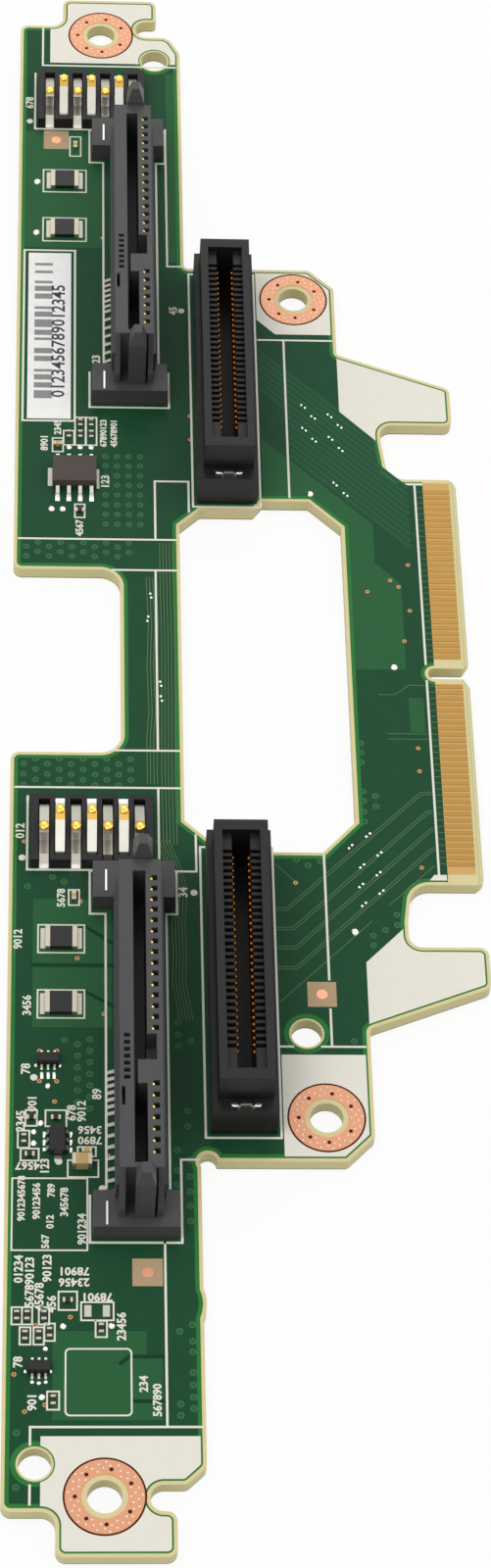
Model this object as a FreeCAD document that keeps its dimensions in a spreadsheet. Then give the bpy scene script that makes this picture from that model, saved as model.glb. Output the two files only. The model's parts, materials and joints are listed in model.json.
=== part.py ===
"""Drive backplane board: a cut-out circuit board with two drive sockets, two card sockets,
two spring contact blocks, an edge connector tongue and its small soldered parts.

Frame: +X right, +Y along the length, +Z up. The origin lies midway between the two end screw
holes, on the underside of the board. All lengths are millimetres.
"""
import FreeCAD, Part
import os
from types import SimpleNamespace

import Sketcher
from FreeCAD import Placement, Rotation, Vector

os.makedirs("parts", exist_ok=True)
doc = FreeCAD.newDocument("drive_backplane_board")

# ---------------------------------------------------------------------------------------------
# Driving sizes: alias, millimetres (or a count), what it is
# ---------------------------------------------------------------------------------------------
SIZES = (
    ("board_thick", 1.6, "board thickness"),
    # long strip and its end tabs
    ("strip_left", 9.85, "strip edge, left of the origin"),
    ("strip_right", 9.7, "strip edge, right of the origin"),
    ("end_tab_left", 4.65, "end tab edge, left of the origin"),
    ("end_tab_right", 6.84, "end tab edge, right of the origin"),
    ("end_tab_reach", 103.0, "ends of the board from the origin"),
    ("shoulder_back", 4.55, "shoulders of the end tabs, back from the ends"),
    ("end_notch_left", 4.3, "round side notch in the end tabs, closed end"),
    ("end_notch_wide", 2.7, "width of the side notch"),
    ("top_notch_back", 4.9, "upper side notch, back from the upper end"),
    ("low_notch_back", 5.95, "lower side notch, back from the lower end"),
    ("top_corner_x", 8.6, "start of the top right corner bevel"),
    ("low_corner_x", 7.8, "start of the lower right corner bevel"),
    ("top_bevel_back", 9.0, "top right corner bevel, back from the upper end"),
    ("low_bevel_back", 9.1, "lower right corner bevel, back from the lower end"),
    # side notch on the left
    ("side_notch_depth_x", 2.0, "closed side of the left notch"),
    ("side_notch_low", 11.2, "lower edge of the left notch, below the origin"),
    ("side_notch_top", 13.6, "upper edge of the left notch, above the origin"),
    # what is left of a tab that held the board in its panel
    ("stub_back", 26.3, "middle of the stub on the strip's right edge, back from the lower end"),
    ("stub_proud", 0.3, "stub beyond the strip's edge"),
    ("stub_rad", 4.4, "radius of the stub"),
    # wide middle plate
    ("plate_right", 27.27, "right edge of the middle plate"),
    ("plate_top", 58.55, "top of the middle plate, above the origin"),
    ("plate_low", 60.95, "bottom of the middle plate, below the origin"),
    ("plate_bevel", 2.85, "corner bevel of the middle plate"),
    ("relief_x", 10.4, "centre of the corner relief"),
    ("relief_y", 61.0, "centre of the corner relief, below the origin"),
    ("relief_rad", 0.9, "radius of the corner relief"),
    # side tabs and finger tongue
    ("tab_right", 40.12, "right edge of the tabs and the tongue"),
    ("tab_slope_in", 45.5, "slanted tab edge where it meets the plate"),
    ("tab_slope_out", 40.5, "slanted tab edge at its outer end"),
    ("tab_inner_top", 35.0, "inner edge of the upper tab"),
    ("tab_inner_low", 35.6, "inner edge of the lower tab, below the origin"),
    ("gap_left_x", 31.83, "closed end of the gaps beside the tongue"),
    ("gap_flare_x", 32.45, "gap edge where it meets the tongue"),
    ("gap_flare_y", 32.5, "where the gap edge starts to flare"),
    ("tongue_top", 27.0, "upper edge of the tongue"),
    ("tongue_low", 27.85, "lower edge of the tongue, below the origin"),
    ("tip_long", 0.8, "length of the bevels at the tip of the tongue"),
    ("tip_deep", 0.4, "depth of the bevels at the tip of the tongue"),
    ("key_y", -0.28, "centre of the key slot"),
    ("key_wide", 1.45, "width of the key slot"),
    ("key_left_x", 35.6, "closed end of the key slot"),
    ("key_lead_deep", 0.65, "lead of the key slot, into the tongue"),
    ("key_lead_wide", 0.9, "lead of the key slot, along the tongue"),
    # central window
    ("window_left", 8.65, "window edge at the left"),
    ("window_right", 26.85, "window edge at the right"),
    ("window_side_y", 19.95, "ends of the window's straight sides"),
    ("window_mid_x", 11.0, "window bevel at the left"),
    ("window_mid_y", 22.2, "window end at the left"),
    ("window_step_x", 17.0, "where the window end steps out"),
    ("window_step_run", 1.0, "run of that step"),
    ("window_far_top", 23.6, "upper window end at the right"),
    ("window_far_low", 23.87, "lower window end at the right, below the origin"),
    ("window_bevel_x", 23.25, "window bevel at the right"),
    # corner radii
    ("rad_small", 0.6, "small corner radius"),
    ("rad_corner", 1.0, "outer corner radius"),
    ("rad_inner", 1.4, "inner corner radius"),
    ("rad_notch", 1.3, "round ends of the side notches"),
    ("rad_key", 0.7, "round end of the key slot"),
    ("rad_gap", 2.2, "inner radius beside the tongue"),
    ("rad_side_notch", 2.3, "inner radius of the left notch"),
    # holes
    ("screw_hole_rad", 1.7, "radius of the screw holes"),
    ("end_hole_back", 6.08, "end screw holes, back from the ends"),
    ("mid_hole_x", 22.47, "middle screw holes, right of the origin"),
    ("mid_hole_y", -1.01, "midpoint of the middle screw holes"),
    ("mid_hole_span", 109.86, "distance between the middle screw holes"),
    ("pad_outer_rad", 3.8, "outer radius of the screw pads"),
    ("pad_inner_rad", 2.25, "inner radius of the screw pads"),
    ("pad_thick", 0.05, "thickness of copper pads"),
    ("tool_hole_rad", 1.6, "radius of the tooling holes"),
    ("tool_low_x", -6.65, "lower tooling hole"),
    ("tool_low_back", 9.4, "lower tooling hole, back from the lower end"),
    ("tool_mid_x", 20.77, "middle tooling hole"),
    ("tool_mid_y", -46.1, "middle tooling hole"),
    ("tool_top_x", 6.55, "upper tooling hole"),
    ("tool_top_back", 10.3, "upper tooling hole, back from the upper end"),
    # edge contacts
    ("finger_left", 36.4, "inner end of the edge contacts"),
    ("finger_long", 2.9, "length of an edge contact"),
    ("finger_wide", 0.55, "width of an edge contact"),
    ("finger_pitch", 0.8, "pitch of the edge contacts"),
    ("finger_first", 2.0, "first edge contact from the origin"),
    ("finger_count", 30, "edge contacts on each side of the key slot"),
    # drive sockets
    ("drive_x", 3.5, "centre of the drive sockets' tongue slot"),
    ("drive_low_back", 54.07, "centre of the lower drive socket, back from the lower end"),
    ("drive_top_back", 44.78, "centre of the upper drive socket, back from the upper end"),
    ("drive_tall", 8.7, "height of the drive socket's body"),
    ("drive_left", 2.1, "body edge left of the slot"),
    ("drive_right", 2.25, "body edge right of the slot"),
    ("drive_step", 0.35, "ledge at the foot of the body"),
    ("drive_foot_tall", 5.2, "height of that ledge"),
    ("drive_slot_wide", 1.3, "width of the tongue slot"),
    ("drive_slot_long", 33.86, "length of the tongue slot"),
    ("drive_slot_floor", 2.2, "slot floor above the board"),
    ("drive_low_wall", 0.55, "end wall at the lower end"),
    ("drive_top_wall", 1.4, "end wall at the upper end"),
    ("flange_left", 4.62, "flange edge left of the slot"),
    ("flange_right", 3.94, "flange edge right of the slot"),
    ("flange_tall", 2.45, "height of the flanges"),
    ("flange_start", 16.6, "inner edge of the lower flange"),
    ("flange_end", 20.67, "outer edge of the lower flange"),
    ("ear_start", 17.75, "inner edge of the upper flange"),
    ("ear_end", 22.25, "outer edge of the upper flange"),
    ("post_left", 0.55, "guide post edge left of the slot centre"),
    ("post_right", 1.4, "guide post edge right of the slot centre"),
    ("post_deep", 2.3, "guide post along the board"),
    ("post_shoulder", 9.0, "height where the post starts to taper"),
    ("post_tall", 10.8, "height of the guide posts"),
    ("post_taper", 0.55, "taper of the post tips on each side"),
    ("cheek_wide", 0.6, "side cheeks beside the lower post"),
    ("cheek_reach", 2.1, "length of the side cheeks"),
    ("cheek_low", 4.0, "height of the cheeks at their end"),
    ("contact_pitch", 1.27, "pitch of the main contacts"),
    ("power_count", 15, "main contacts above the key"),
    ("signal_count", 7, "main contacts below the key"),
    ("key_steps", 5, "contact pitches across the key"),
    ("contact_first", 16.08, "first main contact from the socket's centre"),
    ("contact_cell_x", 1.55, "middle of the main contact windows"),
    ("contact_cell", 0.6, "side of a main contact window"),
    ("contact_cell_deep", 2.2, "depth of the contact windows"),
    ("contact_wide", 0.3, "side of a contact"),
    ("contact_drop", 0.35, "contact tips below the socket's top"),
    ("contact_gap", 0.02, "play of a contact in its window"),
    ("port_pitch", 0.8, "pitch of the second port's contacts"),
    ("port_count", 7, "contacts of the second port"),
    ("port_first", -2.57, "first contact of the second port"),
    ("port_cell_x", -1.35, "middle of the second port's windows"),
    ("port_cell_wide", 0.6, "second port's windows across the board"),
    ("port_cell_long", 0.45, "second port's windows along the board"),
    ("recess_left", 0.6, "key recess, left edge"),
    ("recess_right", 1.6, "key recess, right edge"),
    ("recess_top", -2.42, "key recess, upper edge"),
    ("recess_low", -5.37, "key recess and key block, shared edge"),
    ("block_low", -8.07, "key block, lower edge"),
    ("block_left", -0.3, "key block, left edge"),
    ("recess_deep", 3.0, "depth of the key recess"),
    ("bar_x", -1.72, "middle of the bar slot"),
    ("bar_wide", 0.34, "width of the bar slot"),
    ("bar_top", -8.42, "upper end of the bar slot"),
    ("bar_low", -10.52, "lower end of the bar slot"),
    ("bar_deep", 1.5, "depth of the bar slot"),
    ("strap_x", -3.24, "middle of the hold-down straps"),
    ("strap_thick", 0.2, "thickness of the hold-down straps"),
    ("strap_long", 2.6, "length of the hold-down straps"),
    ("strap_low_y", -19.2, "middle of the lower hold-down strap"),
    ("strap_top_y", 19.75, "middle of the upper hold-down strap"),
    ("strap_proud", 0.15, "straps above the flange"),
    ("tail_wide", 0.4, "width of a solder tail"),
    ("tail_thick", 0.15, "thickness of a solder tail"),
    ("tail_reach", 0.7, "solder tails beyond the socket"),
    ("tail_rise", 0.5, "height of a solder tail at the socket"),
    ("port_tail_first", -1.97, "first solder tail of the second port"),
    # card sockets
    ("card_x", 14.08, "middle of the card sockets"),
    ("card_low_y", -40.9, "middle of the lower card socket"),
    ("card_pitch", 80.96, "distance between the card sockets"),
    ("card_foot_half", 3.35, "half width of the card socket's foot"),
    ("card_foot_long", 33.8, "length of the foot"),
    ("card_foot_tall", 4.4, "height of the foot"),
    ("card_body_half", 2.8, "half width of the upper body"),
    ("card_ledge", 1.45, "foot beyond each end of the upper body"),
    ("card_tall", 8.5, "height of the card socket"),
    ("card_slot_half", 0.95, "half width of the card slot"),
    ("card_end_wall", 1.25, "end walls of the card slot"),
    ("card_slot_floor", 1.6, "floor of the card slot above the board"),
    ("card_mouth_half", 1.95, "half width of the mouth over the contacts"),
    ("card_mouth_deep", 0.8, "depth of the mouth"),
    ("card_count", 30, "contacts on each side"),
    ("card_contact_pitch", 0.8, "pitch of the card contacts"),
    ("card_groove", 0.45, "width of a contact groove"),
    ("card_groove_floor", 4.9, "floor of the contact grooves above the board"),
    ("card_contact_wide", 0.35, "width of a card contact"),
    ("card_field_y", 0.4, "middle of the contact rows from the socket's middle"),
    ("card_bulge_tall", 6.4, "height of the contact bulge"),
    ("card_bulge", 0.1, "contact bulge into the slot"),
    ("card_contact_back", 1.7, "back of the contacts from the slot's middle"),
    ("card_contact_tall", 7.2, "height of the card contacts"),
    ("clip_wide", 3.05, "width of the retaining clip"),
    ("clip_thick", 0.2, "thickness of the clip"),
    ("clip_tall", 0.55, "height of the clip above the foot"),
    ("clip_wave", 0.3, "depth of the two bends of the clip"),
    ("clip_inset", 0.6, "middle of the clip from the end of the foot"),
    # spring contact blocks
    ("spring_x", -1.18, "middle of the spring blocks"),
    ("spring_above", 27.13, "spring blocks above the centres of the drive sockets"),
    ("spring_pitch", 1.675, "pitch of the springs"),
    ("spring_half_x", 6.45, "half width of a spring block"),
    ("spring_half_y", 4.2, "half depth of a spring block"),
    ("spring_tall", 1.5, "height of a spring block"),
    ("spring_floor", 0.3, "floor of the spring channels"),
    ("channel_wide", 1.2, "width of a spring channel"),
    ("channel_half_y", 3.55, "half length of a spring channel"),
    ("spring_wide", 1.0, "width of a spring"),
    ("spring_thick", 0.2, "thickness of the spring strip"),
    ("spring_rise", 3.1, "height of the spring tips"),
    ("spring_tip_y", 1.05, "spring tips from the block's middle"),
    # soldered parts
    ("label_x", -6.05, "middle of the label"),
    ("label_back", 55.07, "middle of the label, back from the upper end"),
    ("label_wide", 5.0, "width of the label"),
    ("label_long", 25.4, "length of the label"),
    ("label_thick", 0.08, "thickness of the label"),
    ("power_res_long", 3.3, "power resistors, length"),
    ("power_res_wide", 2.5, "power resistors, width"),
    ("power_res_tall", 0.6, "power resistors, height"),
    ("power_res_cap", 0.5, "power resistors, length of a terminal"),
    ("chip_long", 1.0, "small chip parts, length"),
    ("chip_wide", 0.5, "small chip parts, width"),
    ("chip_res_tall", 0.35, "small resistors, height"),
    ("chip_cap_tall", 0.5, "small capacitors, height"),
    ("chip_end", 0.25, "small chip parts, length of a terminal"),
    ("large_cap_long", 2.0, "large capacitor, length"),
    ("large_cap_wide", 1.25, "large capacitor, width"),
    ("large_cap_tall", 1.25, "large capacitor, height"),
    ("large_cap_end", 0.4, "large capacitor, length of a terminal"),
    ("wide_chip_x", -3.09, "wide chip, middle"),
    ("wide_chip_back", 76.1, "wide chip, back from the upper end"),
    ("wide_chip_long", 4.9, "wide chip, length"),
    ("wide_chip_wide", 3.9, "wide chip, width"),
    ("wide_chip_tall", 1.5, "wide chip, height"),
    ("wide_lead_pitch", 1.27, "wide chip, lead pitch"),
    ("wide_lead_wide", 0.42, "wide chip, lead width"),
    ("wide_lead_reach", 1.05, "wide chip, leads beyond the body"),
    ("small_chip_x", -4.62, "small chip, middle"),
    ("small_chip_back", 44.15, "small chip, back from the lower end"),
    ("small_chip_long", 2.9, "small chip, length"),
    ("small_chip_wide", 1.6, "small chip, width"),
    ("small_chip_tall", 1.1, "small chip, height"),
    ("small_lead_pitch", 0.9, "small chip, lead pitch"),
    ("small_lead_wide", 0.4, "small chip, lead width"),
    ("small_lead_reach", 0.6, "small chip, leads beyond the body"),
    ("transistor_long", 2.1, "six-lead transistors, length"),
    ("transistor_wide", 1.25, "six-lead transistors, width"),
    ("transistor_tall", 0.95, "six-lead transistors, height"),
    ("transistor_pitch", 0.65, "six-lead transistors, lead pitch"),
    ("transistor_lead", 0.25, "six-lead transistors, lead width"),
    ("transistor_reach", 0.42, "six-lead transistors, leads beyond the body"),
    ("lead_thick", 0.16, "thickness of the chip leads"),
    ("chip_stand_off", 0.1, "gap under the chip bodies"),
    ("mould_draft", 0.12, "how much the chip bodies taper"),
)


class Size:
    """A size that carries its value and the sheet expression that it stands for."""

    def __init__(self, value, text):
        self.value = value
        self.text = text

    def join(self, sign, value, text):
        return Size(value, "(%s %s %s)" % (self.text, sign, text))

    def __add__(self, other):
        other = as_size(other)
        return self.join("+", self.value + other.value, other.text)

    def __sub__(self, other):
        other = as_size(other)
        return self.join("-", self.value - other.value, other.text)

    def __mul__(self, other):
        other = as_size(other)
        return self.join("*", self.value * other.value, other.text)

    def __truediv__(self, other):
        other = as_size(other)
        return self.join("/", self.value / other.value, other.text)

    def __radd__(self, other):
        return as_size(other) + self

    def __rsub__(self, other):
        return as_size(other) - self

    def __rmul__(self, other):
        return as_size(other) * self

    def __neg__(self):
        return 0 - self


def as_size(value):
    """Wrap a plain number, so that it can be mixed with named sizes."""
    return value if isinstance(value, Size) else Size(float(value), "%.6g" % value)


sheet = doc.addObject("Spreadsheet::Sheet", "Sizes")
for row, (alias, amount, note) in enumerate(SIZES, 1):
    sheet.set("A%d" % row, note)
    sheet.set("B%d" % row, str(amount))
    sheet.setAlias("B%d" % row, alias)
doc.recompute()
mm = SimpleNamespace(**{alias: Size(float(amount), "Sizes." + alias) for alias, amount, note in SIZES})
nodes = []


# ---------------------------------------------------------------------------------------------
# Modelling helpers
# ---------------------------------------------------------------------------------------------
def bind(target, path, size):
    target.setExpression(path, as_size(size).text)


def place(target, x, y, z):
    bind(target, "Placement.Base.x", x)
    bind(target, "Placement.Base.y", y)
    bind(target, "Placement.Base.z", z)


class Piece:
    """A PartDesign body that is built up from sketched features."""

    def __init__(self, label, x=0, y=0, z=0, turn=0):
        self.body = doc.addObject("PartDesign::Body", label)
        self.body.Label = label
        self.body.Placement = Placement(Vector(), Rotation(Vector(0, 0, 1), turn))
        place(self.body, x, y, z)
        nodes.append(self.body)

    def origin(self, role):
        return next(item for item in self.body.Origin.OriginFeatures if item.Role == role)

    def sketch(self, role, offset=0):
        new = self.body.newObject("Sketcher::SketchObject", self.body.Label + "_sketch")
        new.AttachmentSupport = [(self.origin(role), "")]
        new.MapMode = "FlatFace"
        bind(new, "AttachmentOffset.Base.z", offset)
        return new

    def feature(self, kind, sketch, length, symmetric=False):
        new = self.body.newObject("PartDesign::" + kind, self.body.Label + "_" + kind.lower())
        new.Profile = sketch
        bind(new, "Length", length)
        if symmetric:
            new.SideType = "Symmetric"
        sketch.Visibility = False
        return new

    def pad(self, sketch, length, symmetric=False):
        return self.feature("Pad", sketch, length, symmetric)

    def pocket(self, sketch, length, symmetric=False):
        return self.feature("Pocket", sketch, length, symmetric)

    def repeat(self, feature, axis, pitch, count, back=False):
        new = self.body.newObject("PartDesign::LinearPattern", self.body.Label + "_row")
        new.Originals = [feature]
        new.Direction = (self.origin(axis), [""])
        new.Mode = "Spacing"
        new.Reversed = back
        bind(new, "Offset", pitch)
        bind(new, "Occurrences", count)
        self.body.Tip = new
        return new

    def round_corners(self, radius, corners):
        """Fillet the upright edges that stand at the given corners."""
        doc.recompute()
        base = self.body.Tip
        names = []
        for number, edge in enumerate(base.Shape.Edges, 1):
            ends = [vertex.Point for vertex in edge.Vertexes]
            if len(ends) != 2 or abs(ends[0].z - ends[1].z) < 0.1:
                continue
            for x, y in corners:
                if max(abs(end.x - x.value) + abs(end.y - y.value) for end in ends) < 1e-4:
                    names.append("Edge%d" % number)
        if len(names) != len(corners):
            raise RuntimeError("%s: found %d of %d corners" % (self.body.Label, len(names), len(corners)))
        new = self.body.newObject("PartDesign::Fillet", self.body.Label + "_fillet")
        new.Base = (base, names)
        bind(new, "Radius", radius)
        return new


def polygon(sketch, points):
    """Draw a closed outline of straight lines and hold every corner at its two sizes."""
    points = [(as_size(x), as_size(y)) for x, y in points]
    first = sketch.GeometryCount
    count = len(points)
    for index, (x, y) in enumerate(points):
        next_x, next_y = points[(index + 1) % count]
        line = Part.LineSegment(Vector(x.value, y.value, 0), Vector(next_x.value, next_y.value, 0))
        sketch.addGeometry(line, False)
    for index in range(count):
        joint = Sketcher.Constraint("Coincident", first + index, 2, first + (index + 1) % count, 1)
        sketch.addConstraint(joint)
    for index, (x, y) in enumerate(points):
        hold(sketch, "DistanceX", first + index, 1, x)
        hold(sketch, "DistanceY", first + index, 1, y)


def hold(sketch, kind, geometry, point, size):
    number = sketch.addConstraint(Sketcher.Constraint(kind, geometry, point, size.value))
    bind(sketch, "Constraints[%d]" % number, size)


def rectangle(sketch, x0, x1, y0, y1):
    polygon(sketch, [(x0, y0), (x1, y0), (x1, y1), (x0, y1)])


def circle(sketch, x, y, radius):
    x, y, radius = as_size(x), as_size(y), as_size(radius)
    centre = Vector(x.value, y.value, 0)
    number = sketch.addGeometry(Part.Circle(centre, Vector(0, 0, 1), radius.value), False)
    hold(sketch, "DistanceX", number, 3, x)
    hold(sketch, "DistanceY", number, 3, y)
    index = sketch.addConstraint(Sketcher.Constraint("Radius", number, radius.value))
    bind(sketch, "Constraints[%d]" % index, radius)


def ribbon(points, thick):
    """Outline of a bent strip: its centre line moved half the thickness to each side."""
    path = [Vector(as_size(x).value, as_size(y).value, 0) for x, y in points]
    half = as_size(thick).value / 2
    left, right = [], []
    for index, point in enumerate(path):
        before = path[index] - path[index - 1] if index else path[1] - path[0]
        after = path[index + 1] - path[index] if index + 1 < len(path) else before
        before.normalize()
        after.normalize()
        middle = before + after
        middle.normalize()
        side = Vector(-middle.y, middle.x, 0) * (half / max(middle.dot(before), 0.5))
        left.append(point + side)
        right.append(point - side)
    outline = left + right[::-1]
    return [(corner.x, corner.y) for corner in outline]


def free_outline(sketch, corners):
    """Draw a closed outline through corners that were worked out from the sheet's sizes."""
    for index, (x, y) in enumerate(corners):
        next_x, next_y = corners[(index + 1) % len(corners)]
        sketch.addGeometry(Part.LineSegment(Vector(x, y, 0), Vector(next_x, next_y, 0)), False)


def box(x0, x1, y0, y1, z0, z1):
    """A Part box between two corners, with every side bound to the sheet."""
    x0, y0, z0 = as_size(x0), as_size(y0), as_size(z0)
    new = doc.addObject("Part::Box", "block")
    bind(new, "Length", as_size(x1) - x0)
    bind(new, "Width", as_size(y1) - y0)
    bind(new, "Height", as_size(z1) - z0)
    place(new, x0, y0, z0)
    return new


def group(label, members):
    """Several separate solids of one kind, kept together as one sub-part."""
    new = doc.addObject("Part::Compound", label)
    new.Label = label
    new.Links = members
    nodes.append(new)
    return new


# ---------------------------------------------------------------------------------------------
# Circuit board
# ---------------------------------------------------------------------------------------------
def board_outline():
    """Corners of the routed outline, clockwise from the top left, each with its radius."""
    half_notch = mm.end_notch_wide / 2
    half_key = mm.key_wide / 2
    key_mouth = mm.tab_right - mm.key_lead_deep
    shoulder = mm.end_tab_reach - mm.shoulder_back
    top_notch = mm.end_tab_reach - mm.top_notch_back
    low_notch = mm.low_notch_back - mm.end_tab_reach
    return [
        (-mm.strip_left, shoulder, mm.rad_corner),
        (-mm.end_tab_left, shoulder, mm.rad_inner),
        (-mm.end_tab_left, mm.end_tab_reach, mm.rad_corner),
        (mm.end_tab_right, mm.end_tab_reach, mm.rad_corner),
        (mm.end_tab_right, top_notch + half_notch, mm.rad_small),
        (mm.end_notch_left, top_notch + half_notch, mm.rad_notch),
        (mm.end_notch_left, top_notch - half_notch, mm.rad_notch),
        (mm.low_corner_x, top_notch - half_notch, mm.rad_small),
        (mm.top_corner_x, top_notch - half_notch - mm.rad_small, None),
        (mm.strip_right, mm.end_tab_reach - mm.top_bevel_back, mm.rad_corner),
        (mm.strip_right, mm.plate_top, mm.rad_small),
        (mm.plate_right - mm.plate_bevel, mm.plate_top, mm.rad_small),
        (mm.plate_right, mm.plate_top - mm.plate_bevel, mm.rad_small),
        (mm.plate_right, mm.tab_slope_in, mm.rad_small),
        (mm.tab_right, mm.tab_slope_out, mm.rad_corner),
        (mm.tab_right, mm.tab_inner_top, mm.rad_corner),
        (mm.gap_left_x, mm.tab_inner_top, mm.rad_inner),
        (mm.gap_left_x, mm.gap_flare_y, None),
        (mm.gap_flare_x, mm.tongue_top, mm.rad_gap),
        (mm.tab_right, mm.tongue_top, mm.rad_corner),
        (mm.tab_right, mm.key_y + half_key + mm.key_lead_wide, None),
        (key_mouth, mm.key_y + half_key, None),
        (mm.key_left_x, mm.key_y + half_key, mm.rad_key),
        (mm.key_left_x, mm.key_y - half_key, mm.rad_key),
        (key_mouth, mm.key_y - half_key, None),
        (mm.tab_right, mm.key_y - half_key - mm.key_lead_wide, None),
        (mm.tab_right, -mm.tongue_low, mm.rad_corner),
        (mm.gap_flare_x, -mm.tongue_low, mm.rad_gap),
        (mm.gap_left_x, -mm.gap_flare_y, None),
        (mm.gap_left_x, -mm.tab_inner_low, mm.rad_inner),
        (mm.tab_right, -mm.tab_inner_low, mm.rad_corner),
        (mm.tab_right, -mm.tab_slope_out, mm.rad_corner),
        (mm.plate_right, -mm.tab_slope_in, mm.rad_small),
        (mm.plate_right, mm.plate_bevel - mm.plate_low, mm.rad_small),
        (mm.plate_right - mm.plate_bevel, -mm.plate_low, mm.rad_small),
        (mm.strip_right, -mm.plate_low, None),
        (mm.strip_right, mm.low_bevel_back - mm.end_tab_reach, mm.rad_corner),
        (mm.low_corner_x, low_notch + half_notch, mm.rad_corner),
        (mm.end_notch_left, low_notch + half_notch, mm.rad_notch),
        (mm.end_notch_left, low_notch - half_notch, mm.rad_notch),
        (mm.end_tab_right, low_notch - half_notch, mm.rad_corner),
        (mm.end_tab_right, -mm.end_tab_reach, mm.rad_corner),
        (-mm.end_tab_left, -mm.end_tab_reach, mm.rad_corner),
        (-mm.end_tab_left, -shoulder, mm.rad_inner),
        (-mm.strip_left, -shoulder, mm.rad_corner),
        (-mm.strip_left, -mm.side_notch_low, mm.rad_corner),
        (mm.side_notch_depth_x, -mm.side_notch_low, mm.rad_side_notch),
        (mm.side_notch_depth_x, mm.side_notch_top, mm.rad_side_notch),
        (-mm.strip_left, mm.side_notch_top, mm.rad_corner),
    ]


def window_outline():
    """Corners of the central window, clockwise; its far end lies lower below the origin."""
    half = ((1, mm.window_far_top), (-1, mm.window_far_low))
    upper, lower = [
        [
            (mm.window_left, side * mm.window_side_y),
            (mm.window_mid_x, side * mm.window_mid_y),
            (mm.window_step_x, side * mm.window_mid_y),
            (mm.window_step_x + mm.window_step_run, side * far),
            (mm.window_bevel_x, side * far),
            (mm.window_right, side * mm.window_side_y),
        ]
        for side, far in half
    ]
    return upper + lower[::-1]


def screw_holes():
    end_hole = mm.end_tab_reach - mm.end_hole_back
    half_mid = mm.mid_hole_span / 2
    return [
        (as_size(0), -end_hole),
        (as_size(0), end_hole),
        (mm.mid_hole_x, mm.mid_hole_y - half_mid),
        (mm.mid_hole_x, mm.mid_hole_y + half_mid),
    ]


def make_circuit_board():
    board = Piece("circuit_board")
    corners = board_outline()
    outline = board.sketch("XY_Plane")
    polygon(outline, [(x, y) for x, y, radius in corners])
    board.pad(outline, mm.board_thick)
    for radius in (mm.rad_small, mm.rad_corner, mm.rad_inner, mm.rad_notch, mm.rad_key, mm.rad_gap,
                   mm.rad_side_notch):
        board.round_corners(radius, [(x, y) for x, y, own in corners if own is radius])
    for height, inward in ((mm.board_thick, -1), (as_size(0), 1)):
        bevel = board.sketch("XZ_Plane", mm.tongue_low)
        polygon(bevel, [(mm.tab_right - mm.tip_long, height), (mm.tab_right, height),
                        (mm.tab_right, height + inward * mm.tip_deep)])
        board.pocket(bevel, mm.tongue_low + mm.tongue_top)
    stub = board.sketch("XY_Plane")
    circle(stub, mm.strip_right + mm.stub_proud - mm.stub_rad, mm.stub_back - mm.end_tab_reach, mm.stub_rad)
    board.pad(stub, mm.board_thick)
    openings = board.sketch("XY_Plane", mm.board_thick)
    polygon(openings, window_outline())
    board.pocket(openings, mm.board_thick)
    holes = board.sketch("XY_Plane", mm.board_thick)
    for x, y in screw_holes():
        circle(holes, x, y, mm.screw_hole_rad)
    for x, y in ((mm.tool_low_x, mm.tool_low_back - mm.end_tab_reach), (mm.tool_mid_x, mm.tool_mid_y),
                 (mm.tool_top_x, mm.end_tab_reach - mm.tool_top_back)):
        circle(holes, x, y, mm.tool_hole_rad)
    board.pocket(holes, mm.board_thick)
    relief = board.sketch("XY_Plane", mm.board_thick)
    circle(relief, mm.relief_x, -mm.relief_y, mm.relief_rad)
    board.pocket(relief, mm.board_thick)


def make_edge_contacts():
    """Gold edge contacts: a row up from the key slot and a row down from it."""
    piece = Piece("edge_contacts", z=mm.board_thick)
    for side in (1, -1):
        middle = side * mm.finger_first
        first = piece.sketch("XY_Plane")
        rectangle(first, mm.finger_left, mm.finger_left + mm.finger_long,
                  middle - mm.finger_wide / 2, middle + mm.finger_wide / 2)
        pad = piece.pad(first, mm.pad_thick)
        piece.repeat(pad, "Y_Axis", mm.finger_pitch, mm.finger_count, back=side < 0)


def make_screw_pads():
    """Copper rings around the screw holes."""
    rings = Piece("screw_pads", z=mm.board_thick)
    plan = rings.sketch("XY_Plane")
    for x, y in screw_holes():
        circle(plan, x, y, mm.pad_outer_rad)
        circle(plan, x, y, mm.pad_inner_rad)
    rings.pad(plan, mm.pad_thick)


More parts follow.
